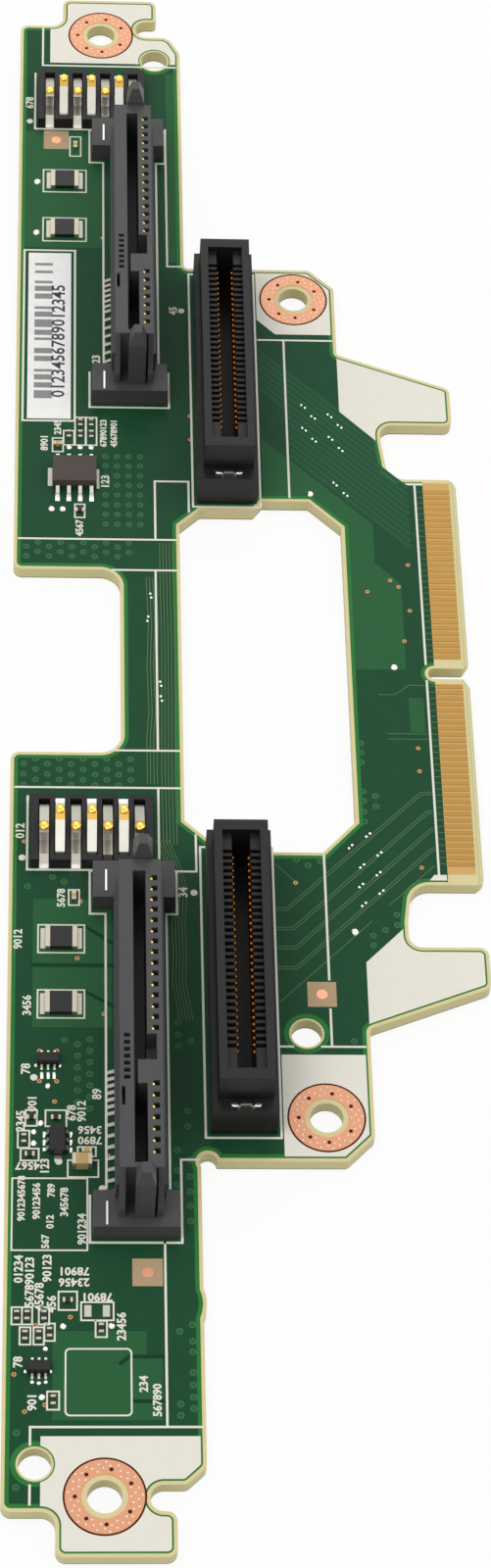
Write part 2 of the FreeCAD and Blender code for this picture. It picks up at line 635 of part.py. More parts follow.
# ---------------------------------------------------------------------------------------------
# Drive sockets
# ---------------------------------------------------------------------------------------------
def make_drive_housing(label, y):
    """Moulded housing: stepped body, tongue slot with its key, flanges and two guide posts."""
    housing = Piece(label, mm.drive_x, y, mm.board_thick)
    half_slot = mm.drive_slot_long / 2
    low = -half_slot - mm.drive_low_wall
    top = half_slot + mm.drive_top_wall

    foot = housing.sketch("XY_Plane")
    rectangle(foot, -mm.drive_left - mm.drive_step, mm.drive_right + mm.drive_step, low, top)
    housing.pad(foot, mm.drive_foot_tall)
    body = housing.sketch("XY_Plane")
    rectangle(body, -mm.drive_left, mm.drive_right, low, top)
    housing.pad(body, mm.drive_tall)

    for near, far in ((-mm.flange_end, -mm.flange_start), (mm.ear_start, mm.ear_end)):
        flange = housing.sketch("XY_Plane")
        rectangle(flange, -mm.flange_left, mm.flange_right, near, far)
        housing.pad(flange, mm.flange_tall)

    # side cheeks: a sloping profile carried across each cheek's width
    for inner, outer in ((-mm.drive_left, mm.cheek_wide - mm.drive_left),
                         (mm.drive_right - mm.cheek_wide, mm.drive_right)):
        cheek = housing.sketch("YZ_Plane", inner)
        polygon(cheek, [(low, 0), (low, mm.drive_tall), (low - mm.cheek_reach, mm.cheek_low),
                        (low - mm.cheek_reach, 0)])
        housing.pad(cheek, outer - inner)

    # guide posts with tapered tips
    for start, end in ((low - mm.post_deep, low), (top, top + mm.post_deep)):
        post = housing.sketch("XY_Plane")
        rectangle(post, -mm.post_left, mm.post_right, start, end)
        housing.pad(post, mm.post_shoulder)
        base = housing.sketch("XY_Plane", mm.post_shoulder)
        rectangle(base, -mm.post_left, mm.post_right, start, end)
        tip = housing.sketch("XY_Plane", mm.post_tall)
        rectangle(tip, mm.post_taper - mm.post_left, mm.post_right - mm.post_taper,
                  start + mm.post_taper, end - mm.post_taper)
        loft = housing.body.newObject("PartDesign::AdditiveLoft", label + "_tip")
        loft.Profile = base
        loft.Sections = [tip]
        loft.Ruled = True

    # tongue slot, narrowed beside the key block
    slot = housing.sketch("XY_Plane", mm.drive_tall)
    half = mm.drive_slot_wide / 2
    polygon(slot, [(-half, -half_slot), (half, -half_slot), (half, mm.block_low),
                   (mm.block_left, mm.block_low), (mm.block_left, mm.recess_low),
                   (half, mm.recess_low), (half, half_slot), (-half, half_slot)])
    housing.pocket(slot, mm.drive_tall - mm.drive_slot_floor)
    recess = housing.sketch("XY_Plane", mm.drive_tall)
    rectangle(recess, mm.recess_left, mm.recess_right, mm.recess_low, mm.recess_top)
    housing.pocket(recess, mm.recess_deep)
    bar = housing.sketch("XY_Plane", mm.drive_tall)
    rectangle(bar, mm.bar_x - mm.bar_wide / 2, mm.bar_x + mm.bar_wide / 2, mm.bar_low, mm.bar_top)
    housing.pocket(bar, mm.bar_deep)

    # contact windows
    half_cell = mm.contact_cell / 2
    for middle, count in ((mm.contact_first, mm.power_count), (signal_first(), mm.signal_count)):
        cell = housing.sketch("XY_Plane", mm.drive_tall)
        rectangle(cell, mm.contact_cell_x - half_cell, mm.contact_cell_x + half_cell,
                  middle - half_cell, middle + half_cell)
        cut = housing.pocket(cell, mm.contact_cell_deep)
        housing.repeat(cut, "Y_Axis", mm.contact_pitch, count, back=True)
    cell = housing.sketch("XY_Plane", mm.drive_tall)
    rectangle(cell, mm.port_cell_x - mm.port_cell_wide / 2, mm.port_cell_x + mm.port_cell_wide / 2,
              mm.port_first - mm.port_cell_long / 2, mm.port_first + mm.port_cell_long / 2)
    cut = housing.pocket(cell, mm.contact_cell_deep)
    housing.repeat(cut, "Y_Axis", mm.port_pitch, mm.port_count, back=True)

    # slits for the hold-down straps
    straps = housing.sketch("XY_Plane", mm.flange_tall)
    for middle in (mm.strap_low_y, mm.strap_top_y):
        rectangle(straps, mm.strap_x - mm.strap_thick / 2, mm.strap_x + mm.strap_thick / 2,
                  middle - mm.strap_long / 2, middle + mm.strap_long / 2)
    housing.pocket(straps, mm.flange_tall)


def signal_first():
    """The first contact below the key, on the same pitch as those above it."""
    return mm.contact_first - (mm.power_count + mm.key_steps - 1) * mm.contact_pitch


def make_contacts(label, y, cell_x, cell_half_x, middle, cell_half_y, pitch, count):
    """Upright contacts in the lower left corner of each window, with a sloping tip."""
    row = Piece(label, mm.drive_x, y, mm.board_thick)
    left = cell_x - cell_half_x + mm.contact_gap
    near = middle - cell_half_y + mm.contact_gap
    floor = mm.drive_tall - mm.contact_cell_deep
    top = mm.drive_tall - mm.contact_drop
    section = row.sketch("YZ_Plane", left)
    polygon(section, [(near, floor), (near + mm.contact_wide, floor),
                      (near + mm.contact_wide, top - mm.contact_wide), (near, top)])
    first = row.pad(section, mm.contact_wide)
    row.repeat(first, "Y_Axis", pitch, count, back=True)


def make_hold_downs(label, y):
    straps = Piece(label, mm.drive_x, y, mm.board_thick)
    plan = straps.sketch("XY_Plane")
    for middle in (mm.strap_low_y, mm.strap_top_y):
        rectangle(plan, mm.strap_x - mm.strap_thick / 2, mm.strap_x + mm.strap_thick / 2,
                  middle - mm.strap_long / 2, middle + mm.strap_long / 2)
    straps.pad(plan, mm.flange_tall + mm.strap_proud)


def make_solder_tails(label, y):
    """Bent solder tails along the left side: the second port's and the signal contacts'."""
    tails = Piece(label, mm.drive_x, y, mm.board_thick)
    side = -mm.drive_left - mm.drive_step
    outline = [(side, 0), (side, mm.tail_rise), (side - mm.tail_reach, mm.tail_thick),
               (side - mm.tail_reach, 0)]
    for middle, pitch, count in ((mm.port_tail_first, mm.port_pitch, mm.port_count),
                                 (signal_first(), mm.contact_pitch, mm.signal_count)):
        section = tails.sketch("XZ_Plane", -middle)
        polygon(section, outline)
        first = tails.pad(section, mm.tail_wide, symmetric=True)
        tails.repeat(first, "Y_Axis", pitch, count, back=True)


def drive_middle(number):
    """Each drive socket keeps its place from its own end of the board."""
    if number == 1:
        return mm.drive_low_back - mm.end_tab_reach
    return mm.end_tab_reach - mm.drive_top_back


def make_drive_socket(number):
    y = drive_middle(number)
    half_cell = mm.contact_cell / 2
    make_drive_housing("drive_socket_housing_%d" % number, y)
    make_contacts("drive_power_contacts_%d" % number, y, mm.contact_cell_x, half_cell,
                  mm.contact_first, half_cell, mm.contact_pitch, mm.power_count)
    make_contacts("drive_signal_contacts_%d" % number, y, mm.contact_cell_x, half_cell,
                  signal_first(), half_cell, mm.contact_pitch, mm.signal_count)
    make_contacts("second_port_contacts_%d" % number, y, mm.port_cell_x, mm.port_cell_wide / 2,
                  mm.port_first, mm.port_cell_long / 2, mm.port_pitch, mm.port_count)
    make_hold_downs("socket_hold_downs_%d" % number, y)
    make_solder_tails("solder_tails_%d" % number, y)


# ---------------------------------------------------------------------------------------------
# Card sockets
# ---------------------------------------------------------------------------------------------
def card_first():
    """Lowest card contact, so that the rows are centred on the contact field."""
    return mm.card_field_y - (mm.card_count - 1) * mm.card_contact_pitch / 2


def make_card_housing(label, y):
    """Moulded housing: broad foot, narrower body, card slot between two combs of grooves."""
    housing = Piece(label, mm.card_x, y, mm.board_thick)
    foot = housing.sketch("XY_Plane")
    rectangle(foot, -mm.card_foot_half, mm.card_foot_half, -mm.card_foot_long / 2, mm.card_foot_long / 2)
    housing.pad(foot, mm.card_foot_tall)
    body = housing.sketch("XY_Plane")
    half_body = mm.card_foot_long / 2 - mm.card_ledge
    rectangle(body, -mm.card_body_half, mm.card_body_half, -half_body, half_body)
    housing.pad(body, mm.card_tall)
    half_long = half_body - mm.card_end_wall
    mouth = housing.sketch("XY_Plane", mm.card_tall)
    rectangle(mouth, -mm.card_mouth_half, mm.card_mouth_half, -half_long, half_long)
    housing.pocket(mouth, mm.card_mouth_deep)
    slot = housing.sketch("XY_Plane", mm.card_tall)
    rectangle(slot, -mm.card_slot_half, mm.card_slot_half, -half_long, half_long)
    housing.pocket(slot, mm.card_tall - mm.card_slot_floor)
    groove = housing.sketch("XY_Plane", mm.card_tall)
    rectangle(groove, -mm.card_mouth_half, mm.card_mouth_half,
              card_first() - mm.card_groove / 2, card_first() + mm.card_groove / 2)
    cut = housing.pocket(groove, mm.card_tall - mm.card_groove_floor)
    housing.repeat(cut, "Y_Axis", mm.card_contact_pitch, mm.card_count)


def make_card_contacts(label, y, side):
    """One row of contacts, each with a rounded bulge that grips the card."""
    row = Piece(label, mm.card_x, y, mm.board_thick)
    inner = mm.card_slot_half + mm.card_bulge
    section = row.sketch("XZ_Plane", -card_first())
    polygon(section, [(side * inner, mm.card_groove_floor),
                      (side * mm.card_contact_back, mm.card_groove_floor),
                      (side * mm.card_contact_back, mm.card_contact_tall),
                      (side * (mm.card_slot_half - mm.card_bulge), mm.card_bulge_tall)])
    first = row.pad(section, mm.card_contact_wide, symmetric=True)
    row.repeat(first, "Y_Axis", mm.card_contact_pitch, mm.card_count)


def make_card_clip(label, y):
    """Thin sprung clip with two bends, standing on the lower end of the foot."""
    y = y - mm.card_foot_long / 2 + mm.clip_inset
    clip = Piece(label, mm.card_x, y, mm.board_thick + mm.card_foot_tall)
    half = mm.clip_wide / 2
    wave = mm.clip_wave
    centre_line = [(-half, 0), (-half * 0.65, 0), (-half * 0.48, -wave), (-half * 0.3, 0),
                   (half * 0.3, 0), (half * 0.48, -wave), (half * 0.65, 0), (half, 0)]
    plan = clip.sketch("XY_Plane")
    free_outline(plan, ribbon(centre_line, mm.clip_thick))
    clip.pad(plan, mm.clip_tall)


def make_card_socket(number):
    y = mm.card_low_y + (number - 1) * mm.card_pitch
    make_card_housing("card_socket_housing_%d" % number, y)
    make_card_contacts("card_contacts_left_%d" % number, y, -1)
    make_card_contacts("card_contacts_right_%d" % number, y, 1)
    make_card_clip("card_clip_%d" % number, y)


# ---------------------------------------------------------------------------------------------
# Spring contact blocks
# ---------------------------------------------------------------------------------------------
SPRINGS_FORWARD = 4
SPRINGS_BACKWARD = 3


def make_spring_housing(label, y):
    """Low block with seven channels, open at alternate ends for the solder tails."""
    housing = Piece(label, mm.spring_x, y, mm.board_thick)
    plan = housing.sketch("XY_Plane")
    rectangle(plan, -mm.spring_half_x, mm.spring_half_x, -mm.spring_half_y, mm.spring_half_y)
    housing.pad(plan, mm.spring_tall)
    for first, count, side in ((-3, SPRINGS_FORWARD, -1), (-2, SPRINGS_BACKWARD, 1)):
        x = first * mm.spring_pitch
        left, right = x - mm.channel_wide / 2, x + mm.channel_wide / 2
        channel = housing.sketch("XY_Plane", mm.spring_tall)
        rectangle(channel, left, right, -mm.channel_half_y, mm.channel_half_y)
        cut = housing.pocket(channel, mm.spring_tall - mm.spring_floor)
        housing.repeat(cut, "X_Axis", 2 * mm.spring_pitch, count)
        mouth = housing.sketch("XY_Plane", mm.spring_tall)
        rectangle(mouth, left, right, side * mm.channel_half_y, side * mm.spring_half_y)
        cut = housing.pocket(mouth, mm.spring_tall)
        housing.repeat(cut, "X_Axis", 2 * mm.spring_pitch, count)


def make_springs(label, y, first, count, side):
    """Bent strip springs: tail, base leaf, return bend, rising arm and curled tip."""
    row = Piece(label, mm.spring_x, y, mm.board_thick)
    half = mm.spring_thick / 2
    leaf = mm.spring_floor + half
    mouth = mm.channel_half_y
    loop = mouth - 3 * half
    tip = mm.spring_tip_y
    top = mm.spring_rise - half
    centre_line = [(mouth + 0.9, half), (mouth + 0.3, half), (mouth - 0.4, 0.95), (tip, leaf),
                   (-loop + 0.3, leaf), (-loop, leaf + 0.35), (-loop + 0.35, leaf + 0.75),
                   (tip - 0.35, top - 0.1), (tip, top), (tip + 0.3, top - 0.6)]
    section = row.sketch("YZ_Plane", first * mm.spring_pitch)
    free_outline(section, ribbon([(side * u, tall) for u, tall in centre_line], mm.spring_thick))
    spring = row.pad(section, mm.spring_wide, symmetric=True)
    row.repeat(spring, "X_Axis", 2 * mm.spring_pitch, count)


def make_spring_block(number):
    y = drive_middle(number) + mm.spring_above
    make_spring_housing("spring_block_housing_%d" % number, y)
    make_springs("forward_springs_%d" % number, y, -3, SPRINGS_FORWARD, -1)
    make_springs("backward_springs_%d" % number, y, -2, SPRINGS_BACKWARD, 1)


# ---------------------------------------------------------------------------------------------
# Chips, transistors, resistors and capacitors
# ---------------------------------------------------------------------------------------------
# middle of each small part: its place across the board, how far back it lies from its own end
# of the board, and whether it lies along the board
LOW_TRANSISTORS = ((-5.62, 53.55), (-6.3, 19.3))
LOW_POWER_RESISTORS = ((-4.35, 60.28, False), (-4.35, 68.15, False))
TOP_POWER_RESISTORS = ((-4.35, 38.55, False), (-4.35, 30.7, False))
LOW_RESISTORS = (
    (-7.25, 46.9, False), (-4.8, 46.88, False), (-8.0, 44.5, True), (-7.4, 42.7, False),
    (-8.5, 24.92, True), (-7.5, 24.92, True), (-5.85, 24.92, True), (-7.68, 22.78, True),
    (-6.35, 22.78, True), (-5.3, 23.1, True), (-4.92, 15.95, True), (-3.55, 26.55, False),
    (-0.3, 23.55, True),
)
LOW_CAPACITORS = ((-3.05, 73.3, True), (-1.7, 43.08, False))
TOP_CAPACITORS = ((-3.1, 25.0, True),)
LOW_LARGE_CAPACITORS = ((-2.17, 41.7, False),)
# small parts that belong to the wide chip: across and along the board from its middle
WIDE_CHIP_RESISTORS = (
    (0.59, -5.05, False), (-0.66, 6.0, True), (0.64, 6.0, True), (0.64, 7.7, True),
    (1.89, 6.0, True), (1.89, 7.7, True),
)
WIDE_CHIP_CAPACITORS = ((-1.91, 4.5, False),)


def chip_parts(name, low_places, top_places, sizes):
    """Two-terminal chips: bodies in one sub-part and their end caps in another."""
    long, wide, tall, cap = sizes
    bodies, caps = [], []
    z0 = mm.board_thick
    places = [(x, back - mm.end_tab_reach, along) for x, back, along in low_places]
    places += [(x, mm.end_tab_reach - back, along) for x, back, along in top_places]
    for x, y, along in places:
        for start, end, kind in ((-long / 2 + cap, long / 2 - cap, bodies),
                                 (-long / 2, -long / 2 + cap, caps), (long / 2 - cap, long / 2, caps)):
            if along:
                new = box(x - wide / 2, x + wide / 2, y + start, y + end, z0, z0 + tall)
            else:
                new = box(x + start, x + end, y - wide / 2, y + wide / 2, z0, z0 + tall)
            kind.append(new)
    group(name + "_bodies", bodies)
    group(name + "_terminals", caps)


def moulded_body(piece, long, wide, tall):
    """A chip body whose long sides taper towards top and bottom."""
    half = wide / 2
    low = mm.chip_stand_off
    middle = (low + tall) / 2
    section = piece.sketch("XZ_Plane")
    polygon(section, [(-half, middle), (mm.mould_draft - half, low), (half - mm.mould_draft, low),
                      (half, middle), (half - mm.mould_draft, tall), (mm.mould_draft - half, tall)])
    piece.pad(section, long, symmetric=True)


def gull_leads(piece, wide, tall, reach, lead_wide, pitch, count):
    """Gull-wing leads on both long sides, spread evenly along the body."""
    half = mm.lead_thick / 2
    middle = (mm.chip_stand_off + tall) / 2
    start = wide / 2 + half
    centre_line = [(start, middle), (start + reach * 0.5, half), (start + reach, half)]
    span = (count - 1) * pitch
    for side in (1, -1):
        section = piece.sketch("XZ_Plane", span / 2)
        free_outline(section, ribbon([(side * u, v) for u, v in centre_line], mm.lead_thick))
        first = piece.pad(section, lead_wide, symmetric=True)
        piece.repeat(first, "Y_Axis", pitch, count)


def make_chips():
    top = mm.board_thick
    turned = 90
    wide_y = mm.end_tab_reach - mm.wide_chip_back
    small_y = mm.small_chip_back - mm.end_tab_reach
    body = Piece("wide_chip_body", mm.wide_chip_x, wide_y, top, turned)
    moulded_body(body, mm.wide_chip_long, mm.wide_chip_wide, mm.wide_chip_tall)
    leads = Piece("wide_chip_leads", mm.wide_chip_x, wide_y, top, turned)
    gull_leads(leads, mm.wide_chip_wide, mm.wide_chip_tall, mm.wide_lead_reach, mm.wide_lead_wide,
               mm.wide_lead_pitch, 4)
    body = Piece("small_chip_body", mm.small_chip_x, small_y, top)
    moulded_body(body, mm.small_chip_long, mm.small_chip_wide, mm.small_chip_tall)
    leads = Piece("small_chip_leads", mm.small_chip_x, small_y, top)
    gull_leads(leads, mm.small_chip_wide, mm.small_chip_tall, mm.small_lead_reach, mm.small_lead_wide,
               mm.small_lead_pitch, 3)
    for number, (x, back) in enumerate(LOW_TRANSISTORS, 1):
        y = back - mm.end_tab_reach
        body = Piece("transistor_body_%d" % number, x, y, top, turned)
        moulded_body(body, mm.transistor_long, mm.transistor_wide, mm.transistor_tall)
        leads = Piece("transistor_leads_%d" % number, x, y, top, turned)
        gull_leads(leads, mm.transistor_wide, mm.transistor_tall, mm.transistor_reach,
                   mm.transistor_lead, mm.transistor_pitch, 3)


def beside_wide_chip(parts):
    """Places measured from the wide chip, as places measured from the upper end of the board."""
    return tuple((mm.wide_chip_x + x, mm.wide_chip_back - y, along) for x, y, along in parts)


def make_chip_parts():
    chip_parts("power_resistor", LOW_POWER_RESISTORS, TOP_POWER_RESISTORS,
               (mm.power_res_long, mm.power_res_wide, mm.power_res_tall, mm.power_res_cap))
    chip_parts("chip_resistor", LOW_RESISTORS, beside_wide_chip(WIDE_CHIP_RESISTORS),
               (mm.chip_long, mm.chip_wide, mm.chip_res_tall, mm.chip_end))
    chip_parts("chip_capacitor", LOW_CAPACITORS,
               beside_wide_chip(WIDE_CHIP_CAPACITORS) + TOP_CAPACITORS,
               (mm.chip_long, mm.chip_wide, mm.chip_cap_tall, mm.chip_end))
    chip_parts("large_capacitor", LOW_LARGE_CAPACITORS, (),
               (mm.large_cap_long, mm.large_cap_wide, mm.large_cap_tall, mm.large_cap_end))


def make_label():
    label = Piece("label", mm.label_x, mm.end_tab_reach - mm.label_back, mm.board_thick)
    plan = label.sketch("XY_Plane")
    rectangle(plan, -mm.label_wide / 2, mm.label_wide / 2, -mm.label_long / 2, mm.label_long / 2)
    label.pad(plan, mm.label_thick)


# ---------------------------------------------------------------------------------------------
# Build, check and write
# ---------------------------------------------------------------------------------------------
def build():
    make_circuit_board()
    make_edge_contacts()
    make_screw_pads()
    for number in (1, 2):
        make_drive_socket(number)
        make_card_socket(number)
        make_spring_block(number)
    make_chips()
    make_chip_parts()
    make_label()
    doc.recompute()


def check():
    for item in doc.Objects:
        if "Invalid" in item.State or "Error" in item.State:
            raise RuntimeError("%s failed: %s" % (item.Label, item.State))
    for node in nodes:
        if node.Shape.isNull() or not node.Shape.isValid():
            raise RuntimeError("%s has no valid shape" % node.Label)


def write():
    for node in nodes:
        shape = node.Shape
        shape.exportStep("parts/%s.step" % node.Label)
        size = shape.BoundBox
        print("%-28s solids %3d volume %9.3f  x %7.2f %7.2f  y %8.2f %8.2f  z %6.2f %6.2f" % (
            node.Label, len(shape.Solids), shape.Volume, size.XMin, size.XMax, size.YMin, size.YMax,
            size.ZMin, size.ZMax))


build()
check()
write()
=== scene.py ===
"""Finishes, printed legend, solder and stage for the drive backplane board.

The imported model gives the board, its sockets and its soldered parts. This file dresses them:
solder mask and covered copper over the bare laminate, the white legend, via rings, solder
domes, the label's bars and a finish for each material. Lengths are millimetres in the model's
own frame and become metres only where a mesh is written.
"""

import json
import math

import bmesh
import bpy
import numpy as np
from bpy.props import FloatProperty, FloatVectorProperty, PointerProperty
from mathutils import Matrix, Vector
from mathutils.geometry import tessellate_polygon


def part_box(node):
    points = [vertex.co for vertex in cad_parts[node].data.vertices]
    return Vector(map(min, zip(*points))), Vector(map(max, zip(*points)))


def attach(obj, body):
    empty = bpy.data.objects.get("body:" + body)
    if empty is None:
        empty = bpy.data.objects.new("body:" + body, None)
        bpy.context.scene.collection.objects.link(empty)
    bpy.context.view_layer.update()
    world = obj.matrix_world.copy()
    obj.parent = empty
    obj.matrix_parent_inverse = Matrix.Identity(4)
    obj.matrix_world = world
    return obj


bl_info = {
    "name": "Drive backplane board",
    "version": (1, 0, 0),
    "blender": (4, 5, 0),
    "location": "View3D > Sidebar > Backplane",
    "description": "Builds the finish of a drive backplane board over its packed model",
    "category": "Add Mesh",
}

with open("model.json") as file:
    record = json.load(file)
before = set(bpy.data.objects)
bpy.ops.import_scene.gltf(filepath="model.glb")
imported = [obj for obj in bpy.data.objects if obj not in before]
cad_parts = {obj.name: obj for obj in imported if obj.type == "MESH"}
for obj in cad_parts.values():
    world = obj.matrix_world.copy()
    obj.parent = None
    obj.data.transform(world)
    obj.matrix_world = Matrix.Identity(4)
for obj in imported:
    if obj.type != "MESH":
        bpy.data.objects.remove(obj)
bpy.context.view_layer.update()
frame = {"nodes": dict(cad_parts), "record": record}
MM = 0.001


def node_box(name):
    """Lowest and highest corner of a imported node, in millimetres."""
    return np.array(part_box(name)) / MM


BOARD_TOP = node_box("circuit_board")[1, 2]
# heights of the printed layers above the laminate, thicker than real ones so that they stay apart
MASK_TALL = 0.020
PLANE_TALL = 0.023
POUR_TALL = 0.026
TRACK_TALL = 0.029
INK_TALL = 0.036
# least step in height that keeps two flat faces apart, and how many steps bars take in turn
LIFT = 0.001
LIFT_STEPS = 7
# font size for digits of height 1, and how far their outline is made bolder
FONT_SIZE = 1.35
BOLDER = 0.035


# ---------------------------------------------------------------------------------------------
# Colours and settings
# ---------------------------------------------------------------------------------------------
def hex_colour(code):
    """An sRGB hex colour as linear RGBA: ((c + 0.055) / 1.055) ** 2.4, or c / 12.92 when dark."""
    channel = np.array([int(code[at:at + 2], 16) for at in (1, 3, 5)]) / 255
    curve = np.where(channel <= 0.04045, channel / 12.92, ((channel + 0.055) / 1.055) ** 2.4)
    return (*curve.tolist(), 1.0)


def colour(name, description, code):
    """A colour setting."""
    return FloatVectorProperty(name=name, description=description, subtype="COLOR", size=4,
                               min=0, max=1, default=hex_colour(code))


def length(name, description, millimetres):
    """A length setting, given in millimetres and kept in metres."""
    return FloatProperty(name=name, description=description, unit="LENGTH", min=0,
                         precision=5, default=millimetres * MM)


class BackplaneColours(bpy.types.PropertyGroup):
    """Colours of the board and its parts."""

    mask: colour("Solder mask", "Solder mask over copper", "#1f4a30")
    mask_rim: colour("Mask rim", "Solder mask over bare laminate", "#2f7739")
    pour: colour("Pour", "Solder mask over a copper pour", "#2b5e39")
    track: colour("Track", "Solder mask over a thin track", "#5f7850")
    laminate: colour("Laminate", "Cut glass and epoxy laminate", "#d8ca96")
    ink: colour("Legend", "White legend ink", "#e6e3d6")
    copper: colour("Copper", "Bare copper of the fiducial dots", "#dc9f7e")
    finger: colour("Edge contacts", "Hard gold of the edge contacts", "#99763f")
    gold: colour("Contact gold", "Gold on the sprung contacts", "#e3b54c")
    drive_plastic: colour("Drive sockets", "Moulding of the drive sockets", "#474748")
    card_plastic: colour("Card sockets", "Moulding of the card sockets and spring blocks", "#1b1a1a")


class BackplaneSizes(bpy.types.PropertyGroup):
    """Sizes of the printed and soldered detail."""

    mask_gap: length("Mask gap", "Bare laminate between the routed edge and the mask", 0.38)
    plane_gap: length("Plane gap", "Routed edge to the copper plane under the mask", 0.8)
    field_gap: length("Field gap", "Routed edge to the white legend fields", 0.56)
    line_wide: length("Legend line", "Width of the legend's lines", 0.24)
    thin_line_wide: length("Thin legend line", "Width of the frames round small parts", 0.17)
    via_wide: length("Via", "Diameter of an open via's ring", 0.48)
    track_wide: length("Track", "Width of a covered track", 0.08)


def colours():
    """The colour settings."""
    return bpy.context.scene.backplane_colours


def sizes(name):
    """One of the size settings, in millimetres."""
    return getattr(bpy.context.scene.backplane_sizes, name) / MM


# ---------------------------------------------------------------------------------------------
# Meshes
# ---------------------------------------------------------------------------------------------
def add_piece(name, shape, finish, smooth=False):
    """Write a shape into a mesh that rides on the board; it is corner points and a face table."""
    points, faces = shape
    mesh = bpy.data.meshes.new(name)
    mesh.from_pydata((np.asarray(points) * MM).tolist(), [], np.asarray(faces).tolist())
    mesh.polygons.foreach_set("use_smooth", np.full(len(mesh.polygons), smooth))
    mesh.validate()
    mesh.materials.append(bpy.data.materials[finish])
    piece = bpy.data.objects.new(name, mesh)
    bpy.context.collection.objects.link(piece)
    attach(piece, "root")


def joined(parts):
    """Several (points, faces) pairs as one, each part's faces counted on from the last."""
    starts = np.cumsum([0] + [len(points) for points, faces in parts[:-1]])
    return (np.concatenate([points for points, faces in parts]),
            np.concatenate([faces + start for (points, faces), start in zip(parts, starts)]))


def copies(points, faces, places):
    """One small shape put at every place, (x, y) or (x, y, z): its points added to each in turn."""
    places = np.asarray(places, float)
    moved = points[None] + np.pad(places, ((0, 0), (0, 3 - places.shape[1])))[:, None]
    turns = faces[None] + (np.arange(len(places)) * len(points))[:, None, None]
    return moved.reshape(-1, 3), turns.reshape(-1, faces.shape[1])


def turned_shape(profile, sides):
    """Carry a profile of (radius, height) points round the Z axis, anticlockwise.

    Point (i, j) is at radius r_i and angle a_j = 2 pi j / sides: (r cos a, r sin a, h). The
    profile runs up the outside, and an end of it that lies on the axis closes there.
    """
    profile = np.asarray(profile, float)
    on_axis = profile[:, 0] < 1e-9
    belts = profile[~on_axis]
    side = np.arange(sides)
    after = (side + 1) % sides
    angle = side * 2 * math.pi / sides
    around = belts[:, None, :1] * np.stack([np.cos(angle), np.sin(angle)], 1)[None]
    tall = np.broadcast_to(belts[:, None, 1:], around.shape[:2] + (1,))
    points = np.concatenate([around, tall], 2).reshape(-1, 3)
    low = (np.arange(len(belts) - 1) * sides)[:, None]
    high = low + sides
    walls = np.stack([low + side, low + after, high + after, low + side, high + after, high + side], -1)
    faces = [walls.reshape(-1, 3)]
    rim = (len(belts) - 1) * sides
    for end, first, second in ((0, after, side), (-1, rim + side, rim + after)):
        if on_axis[end]:
            faces.append(np.stack([first, second, np.full(sides, len(points))], -1))
            points = np.vstack([points, [0, 0, profile[end, 1]]])
    return points, np.vstack(faces)


def domes(places, radius, tall, base=MASK_TALL, sides=12):
    """Solder domes: r = radius cos t, h = base + tall sin t for t from 0 to a quarter turn."""
    t = np.linspace(0, math.pi / 2, 5)
    profile = np.c_[radius * np.cos(t), BOARD_TOP + base + tall * np.sin(t)]
    return copies(*turned_shape(profile, sides), places)


def beads(places, reach, sides=10, levels=6):
    """Closed ellipsoids: (rx sin t cos a, ry sin t sin a, -rz cos t), t from 0 to half a turn."""
    t = np.arange(levels + 1) * math.pi / levels
    points, faces = turned_shape(np.c_[np.sin(t), -np.cos(t)], sides)
    return copies(points * reach, faces, places)


def discs(places, radius, top):
    """Thin upright discs that stand on the laminate: a wall at the radius, then a flat top."""
    profile = ((radius, BOARD_TOP), (radius, BOARD_TOP + top), (0, BOARD_TOP + top))
    return copies(*turned_shape(profile, 16), places)


def rings(places, outer, inner, top, sides=20):
    """Flat rings: an outer wall, a flat top in to the inner radius and a wall back down."""
    levels = ((outer, 0), (outer, top), (inner, top), (inner, 0))
    profile = [(radius, BOARD_TOP + tall) for radius, tall in levels]
    return copies(*turned_shape(profile, sides), places)


def bars(segments, wide, top):
    """Straight printed bars: each runs along its segment, wide/2 to each side of it.

    Bars next to each other in the list differ by LIFT in height, so that where they cross no
    two faces lie in one plane. The corners are end +- u * wide / 2 +- n * wide / 2, where u is
    the unit vector along the segment and n is square to it.
    """
    ends = np.asarray(segments, float)
    along = ends[:, 1] - ends[:, 0]
    along /= np.linalg.norm(along, axis=1, keepdims=True)
    across = np.stack([-along[:, 1], along[:, 0]], 1) * wide / 2
    reach = along * wide / 2
    plan = np.stack([ends[:, 0] - reach - across, ends[:, 1] + reach - across,
                     ends[:, 1] + reach + across, ends[:, 0] - reach + across], 1)
    return prisms(plan, top + LIFT * (np.arange(len(plan)) % LIFT_STEPS))


def prisms(plan, top):
    """Upright blocks over four-cornered plans given anticlockwise, from the laminate to their tops."""
    count = len(plan)
    heights = BOARD_TOP + np.stack([np.zeros(count), np.broadcast_to(top, count)], 1)
    points = np.concatenate([np.repeat(plan[:, None], 2, 1),
                             np.broadcast_to(heights[:, :, None, None], (count, 2, 4, 1))], 3)
    block = np.array([(0, 3, 2), (0, 2, 1), (4, 5, 6), (4, 6, 7), (0, 1, 5), (0, 5, 4), (1, 2, 6),
                      (1, 6, 5), (2, 3, 7), (2, 7, 6), (3, 0, 4), (3, 4, 7)])
    faces = block[None] + (np.arange(count) * 8)[:, None, None]
    return points.reshape(-1, 3), faces.reshape(-1, 3)


def blocks(boxes, top):
    """Rectangles (left, right, low, high) as thin blocks."""
    left, right, low, high = np.asarray(boxes, float).T
    plan = np.stack([np.stack([left, low], 1), np.stack([right, low], 1),
                     np.stack([right, high], 1), np.stack([left, high], 1)], 1)
    return prisms(plan, top)


def run(points):
    """The segments of one bent line."""
    return list(zip(points[:-1], points[1:]))


